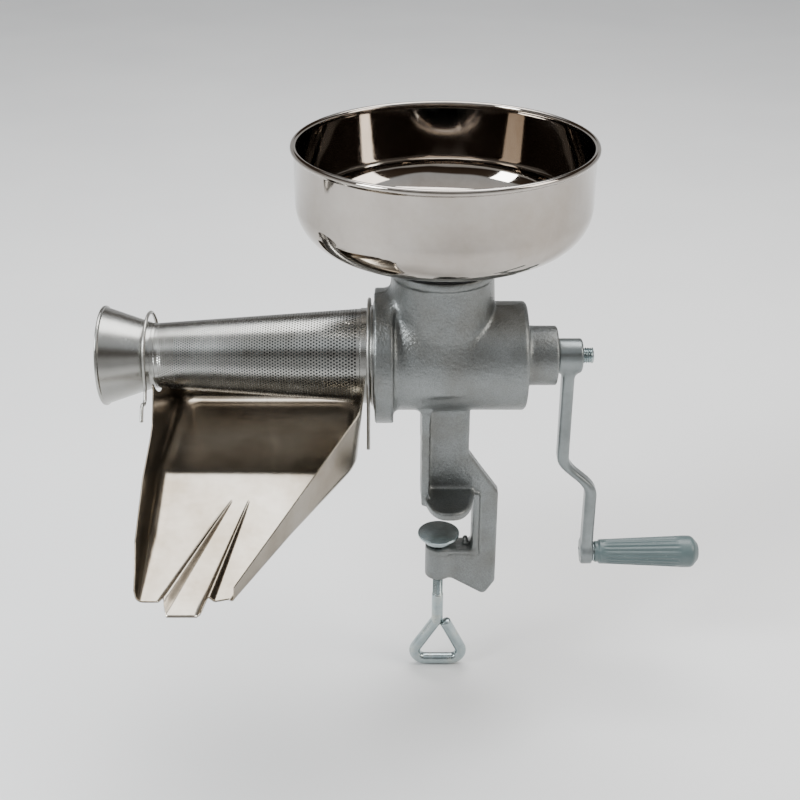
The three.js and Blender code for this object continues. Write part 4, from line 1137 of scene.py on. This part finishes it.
def along_ridges(flat):
    """Moves the floor's columns sideways so that some of them run along the ridges.

    Each row has knots at its two ends and at both feet and the middle of each ridge. The columns
    lie evenly between them, and past the ridges' heads they spread out evenly again.
    """
    head_y, spread = LIP_Y + RIDGE_LENGTH, 60
    row_y = flat[:, :1, 1]
    left, right = flat[:, :1, 0], flat[:, -1:, 0]
    knots = [left]
    for ridge in RIDGES:
        middle, half = ridge_at(ridge, np.minimum(row_y, head_y))
        knots += [middle - half, middle, middle + half]
    least_apart = [0, 2, 3, 4, 5, 6, 7, 8]
    knots = np.maximum(np.concatenate(knots + [right], 1), left + least_apart)
    last = flat.shape[1] - 1
    columns = np.arange(last + 1)
    places = np.array([0, 0.13, 0.23, 0.33, 0.43, 0.52, 0.61, 1]) * last
    moved = np.array([np.interp(columns, places, row) for row in knots])
    blend = np.clip((head_y + spread - row_y) / spread, 0, 1)
    blend = blend ** 2 * (3 - 2 * blend)
    flat[..., 0] += (moved - flat[..., 0]) * blend


def tray_feet():
    """Left and right foot of the tray's walls, as lines that start at the lip and meet behind."""
    back_y = TRAY_BACK - BACK_LEAN
    left_x, right_x = TRAY_LEFT + SIDE_LEAN, TRAY_RIGHT - SIDE_LEAN
    mid_x = (left_x + right_x) / 2
    corner = 20.0
    turn_y = back_y - corner
    left_line = rounded([
        (left_x + 2, LIP_Y, 0), (left_x, -20, 200), (left_x, back_y, corner), (mid_x, back_y, 0)], steps=24)
    right_line = rounded([
        (left_x + LIP_WIDTH, LIP_Y, 0), (right_x, FOLD_Y, 30), (right_x, back_y, corner), (mid_x, back_y, 0),
    ], steps=24)
    side_rows = np.linspace(LIP_Y, turn_y, SIDE_ROWS)
    feet = []
    for line in (left_line, right_line):
        split = np.argmax(line[:, 1] > turn_y - 0.01)
        front = np.stack([np.interp(side_rows, line[:split + 1, 1], line[:split + 1, 0]), side_rows], 1)
        rear = evened(line[split:], 0.5)
        pick = np.linspace(0, len(rear) - 1, REAR_ROWS)[1:]
        rear = np.stack([np.interp(pick, np.arange(len(rear)), rear[:, k]) for k in range(2)], 1)
        feet.append(np.concatenate([front, rear]))
    return feet


def notched(y, edge, radius):
    """Height at y of a top edge given as (y, height) points, with a round notch about the strainer."""
    edge = np.array(edge)
    level = np.interp(y, edge[:, 0], edge[:, 1])
    notch = TRAY_TOP - np.sqrt(np.maximum(radius ** 2 - y ** 2, 0))
    return np.where(np.abs(y) < radius, np.minimum(level, notch), level)


def tray_top_left(y):
    """Top edge: back wall, a cut corner, a round notch for the strainer, then down to the lip."""
    back_y = TRAY_BACK - BACK_LEAN
    return notched(y, [
        (LIP_Y, FLOOR_Z - 28), (LIP_Y + 10, 46), (-175, 64), (-120, 88), (-60, 104), (-34, 122), (-31, 127),
        (31, 128), (38, 129), (back_y - 8, 136), (back_y + 1, TRAY_TOP)], LEFT_NOTCH)


def tray_top_right(y):
    """Top edge: level, with a round notch for the strainer, then straight down to the lip."""
    return notched(y, [
        (LIP_Y, FLOOR_Z - LIP_DROP + 15), (FOLD_Y, TRAY_TOP - 13), (FOLD_Y + 30, TRAY_TOP), (0, TRAY_TOP),
    ], RIGHT_NOTCH)


def tray_wall(foot, side, top):
    """A wall's points, row by row: an arc up from the floor, then a leaning straight to the top edge."""
    step = np.gradient(foot, axis=0)
    step /= np.linalg.norm(step, axis=1, keepdims=True)
    out = np.stack([-step[:, 1], step[:, 0]], 1) * side
    out[-1] = (0, 1)
    lean = SIDE_LEAN + (BACK_LEAN - SIDE_LEAN) * np.clip(out[:, 1], 0, 1) ** 2
    tilt = np.arctan(lean / (TRAY_TOP - FLOOR_Z))
    bend = math.pi / 2 - tilt
    fillet = 5 + 8 * np.clip((foot[:, 1] - LIP_Y) / 60, 0, 1)
    reach = fillet * np.tan(bend / 2)
    turn = np.linspace(0, 1, ARC_STEPS)[None, :] * bend[:, None]
    offset = -reach[:, None] + fillet[:, None] * np.sin(turn)
    height = fillet[:, None] * (1 - np.cos(turn))
    base = floor_height(foot[:, 0], foot[:, 1])
    full = np.maximum(top(foot[:, 1]) - base, height[:, -1] + 0.5)
    up = height[:, -1:] + np.linspace(0, 1, WALL_STEPS)[None, 1:] * (full[:, None] - height[:, -1:])
    out_more = offset[:, -1:] + (up - height[:, -1:]) * np.tan(tilt)[:, None]
    offset, height = np.concatenate([offset, out_more], 1), np.concatenate([height, up], 1)
    xy = foot[:, None] + out[:, None] * offset[..., None]
    near = floor_height(xy[..., 0], xy[..., 1])
    share = np.clip(height / 6, 0, 1)
    z = near * (1 - share) + base[:, None] * share + height
    return np.concatenate([xy, z[..., None]], -1)


def tray():
    """Pressed sheet. Rows run from the left wall's edge, down, over the floor and up the right wall.

    Past the middle of the back each row bends at one point of the floor, so that the rows fan
    out round the back corners. Between the ridges, a tab of the lip reaches further out as the spout.
    """
    left_foot, right_foot = tray_feet()
    left_wall = tray_wall(left_foot, 1, tray_top_left)
    right_wall = tray_wall(right_foot, -1, tray_top_right)
    turn_y = TRAY_BACK - BACK_LEAN - 60
    middle = (left_foot + right_foot) / 2
    fixed = middle[np.argmin(np.abs(middle[:, 1] - turn_y))]
    middle = np.where(middle[:, 1:] > turn_y, fixed, middle)
    share = np.linspace(0, 1, HALF_FLOOR_STEPS)[None, 1:-1, None]
    start, end = left_wall[:, :1, :2], right_wall[:, :1, :2]
    middle = middle[:, None]
    flat = np.concatenate([start + (middle - start) * share, middle, middle + (end - middle) * share], 1)
    along_ridges(flat)
    tab = np.clip(np.minimum(flat[..., 0] - SPOUT[0], SPOUT[1] - flat[..., 0]) / 4, 0, 1)
    ahead = np.clip((LIP_Y + 12 - flat[..., 1]) / 12, 0, 1)
    flat[..., 1] -= SPOUT_REACH * tab * ahead
    floor = np.concatenate([flat, floor_height(flat[..., 0], flat[..., 1])[..., None]], -1)
    part = surface(np.concatenate([left_wall[:, ::-1], floor, right_wall], 1))
    piece = build("drip_tray_sheet", [part], TRAY, "strainer", "tray", sharp=40, closed=False)
    sheet = piece.modifiers.new("sheet", "SOLIDIFY")
    sheet.thickness = TRAY_SHEET * MM
    sheet.offset = -1.0
    return piece


def arc_over(x, radius, start, end, count=24):
    """Points of an arch about the auger's axis in the plane x, from start to end in degrees."""
    angle = np.radians(np.linspace(start, end, count))
    return [(x, radius * math.cos(a), AXIS + radius * math.sin(a), 0) for a in angle]


def bent_wire(corners):
    """Round wire through the corners, with a point every 0.8 mm."""
    return swept(evened(rounded(corners, steps=8), 0.8), WIRE_R, (0.8, 0.35, 0.2), 16)


def tray_clip_left():
    """Spring wire: a leg through the tray's wall, an arch over the strainer's neck, and a wavy hook."""
    x = TRAY_LEFT - 3.7
    pivot_y, pivot_z = 47, AXIS - 24
    corners = [(x + 9, pivot_y, pivot_z, 0), (x, pivot_y, pivot_z, 1.6)]
    corners += arc_over(x, LEFT_NOTCH + 6, 22, 168)
    corners += [
        (x, -39, AXIS - 14, 8), (x, -47, AXIS - 25, 6), (x, -57, AXIS - 17, 5), (x, -66, AXIS - 30, 0)]
    part = bent_wire(corners)
    return build("clip_wire", [part], WIRE, "left_clip", "tray_clip_left", sharp=60)


def tray_bail_right():
    """Spring wire on the flange side: a leg through the wall, an arch over the collar, and a tail."""
    x = TRAY_RIGHT + 3.7
    pivot_y, pivot_z = 62, AXIS - 14
    corners = [(x - 9, pivot_y, pivot_z, 0), (x, pivot_y, pivot_z, 1.6)]
    corners += arc_over(x, RIGHT_NOTCH + 5, 22, 168)
    corners += [(x, -52, AXIS - 14, 10), (x, -60, AXIS - 34, 10), (x, -70, AXIS - 54, 0)]
    part = bent_wire(corners)
    return build("bail_wire", [part], WIRE, "right_bail", "tray_bail_right", sharp=60)


PIECES = (
    body_casting, strainer_screen, strainer_collar, strainer_funnel, auger, drive_shaft, thrust_bearing,
    thrust_spring, crank_arm, grip, grip_bolt, grip_washer, hopper_bowl, hopper_neck, hopper_gasket,
    clamp_screw, clamp_pad, tray, tray_clip_left, tray_bail_right)
for make in PIECES:
    make()


# ---------------------------------------------------------------- studio
def plain_floor():
    """A wide, flat, pale floor just under the lowest piece."""
    level = cad_bounds[0][2] - 0.001
    reach = 40.0
    mesh = bpy.data.meshes.new("floor")
    corners = [(-reach, -reach, level), (reach, -reach, level), (reach, reach, level), (-reach, reach, level)]
    mesh.from_pydata(corners, [], [(0, 1, 2, 3)])
    floor = bpy.data.objects.new("floor", mesh)
    bpy.context.scene.collection.objects.link(floor)
    finish = Finish("pale_floor")
    tone = finish.noise(3, 2.0, 0.5)
    floor.data.materials.append(finish.set(
        Base_Color=finish.ramp(tone, (0.3, (0.83, 0.83, 0.83)), (0.7, (0.87, 0.87, 0.865))), Roughness=0.7))


def soft_light(name, place, target, size, power, colour):
    """A rectangular lamp at a place, turned to face a target; size in metres and power in watts."""
    data = bpy.data.lights.new(name, "AREA")
    data.shape = "RECTANGLE"
    data.size, data.size_y = size
    data.energy = power
    data.color = colour
    light = bpy.data.objects.new(name, data)
    light.location = place
    light.rotation_euler = (Vector(target) - Vector(place)).to_track_quat("-Z", "Y").to_euler()
    bpy.context.scene.collection.objects.link(light)


def studio():
    """Two windows and a lamp from above, in a dim warm room that the polished steel reflects."""
    world = bpy.data.worlds.new("room")
    bpy.context.scene.world = world
    world.use_nodes = True
    tree = world.node_tree
    direction = Value(tree, tree.nodes.new("ShaderNodeTexCoord").outputs["Generated"])
    split = tree.nodes.new("ShaderNodeSeparateXYZ")
    tree.links.new(direction.socket, split.inputs[0])
    patches = tree.nodes.new("ShaderNodeTexNoise")
    patches.inputs["Scale"].default_value = 1.7
    patches.inputs["Detail"].default_value = 1.0
    tree.links.new(direction.socket, patches.inputs["Vector"])
    height = Value(tree, split.outputs["Z"]) + (Value(tree, patches.outputs[0]) - 0.5) * 0.22
    ramp = tree.nodes.new("ShaderNodeValToRGB")
    tree.links.new(height.socket, ramp.inputs["Fac"])
    set_stops(ramp.color_ramp, (
        (0.0, (0.70, 0.70, 0.70)), (0.31, (0.66, 0.66, 0.655)), (0.36, (0.055, 0.038, 0.027)),
        (0.62, (0.10, 0.075, 0.055)), (0.68, (0.85, 0.90, 0.95)), (1.0, (1.0, 1.0, 1.0))))
    background = tree.nodes["Background"]
    tree.links.new(ramp.outputs["Color"], background.inputs["Color"])
    background.inputs["Strength"].default_value = 0.9
    soft_light("window_left", (-1.5, -0.9, 1.35), (0, 0, 0.05), (0.55, 0.9), 48, (0.93, 0.97, 1.0))
    soft_light("window_right", (1.6, -0.5, 1.2), (0, 0, 0.05), (0.8, 1.2), 20, (1.0, 0.95, 0.88))
    soft_light("overhead", (0.1, 0.7, 2.2), (0, 0.3, 0), (2.0, 1.4), 60, (1.0, 1.0, 1.0))


def camera():
    """Looks along +Y and down, framing the whole object."""
    data = bpy.data.cameras.new("camera")
    data.lens = 58
    data.sensor_width = 36
    view = bpy.data.objects.new("camera", data)
    pitch = math.radians(27.9)
    low, high = Vector(cad_bounds[0]), Vector(cad_bounds[1])
    target = (low + high) / 2 + Vector((-0.012, 0, 0.055))
    distance = 1.09
    view.location = target + Vector((0, -math.cos(pitch), math.sin(pitch))) * distance
    view.rotation_euler = (math.pi / 2 - pitch, 0, 0)
    bpy.context.scene.collection.objects.link(view)
    bpy.context.scene.camera = view


plain_floor()
studio()
camera()
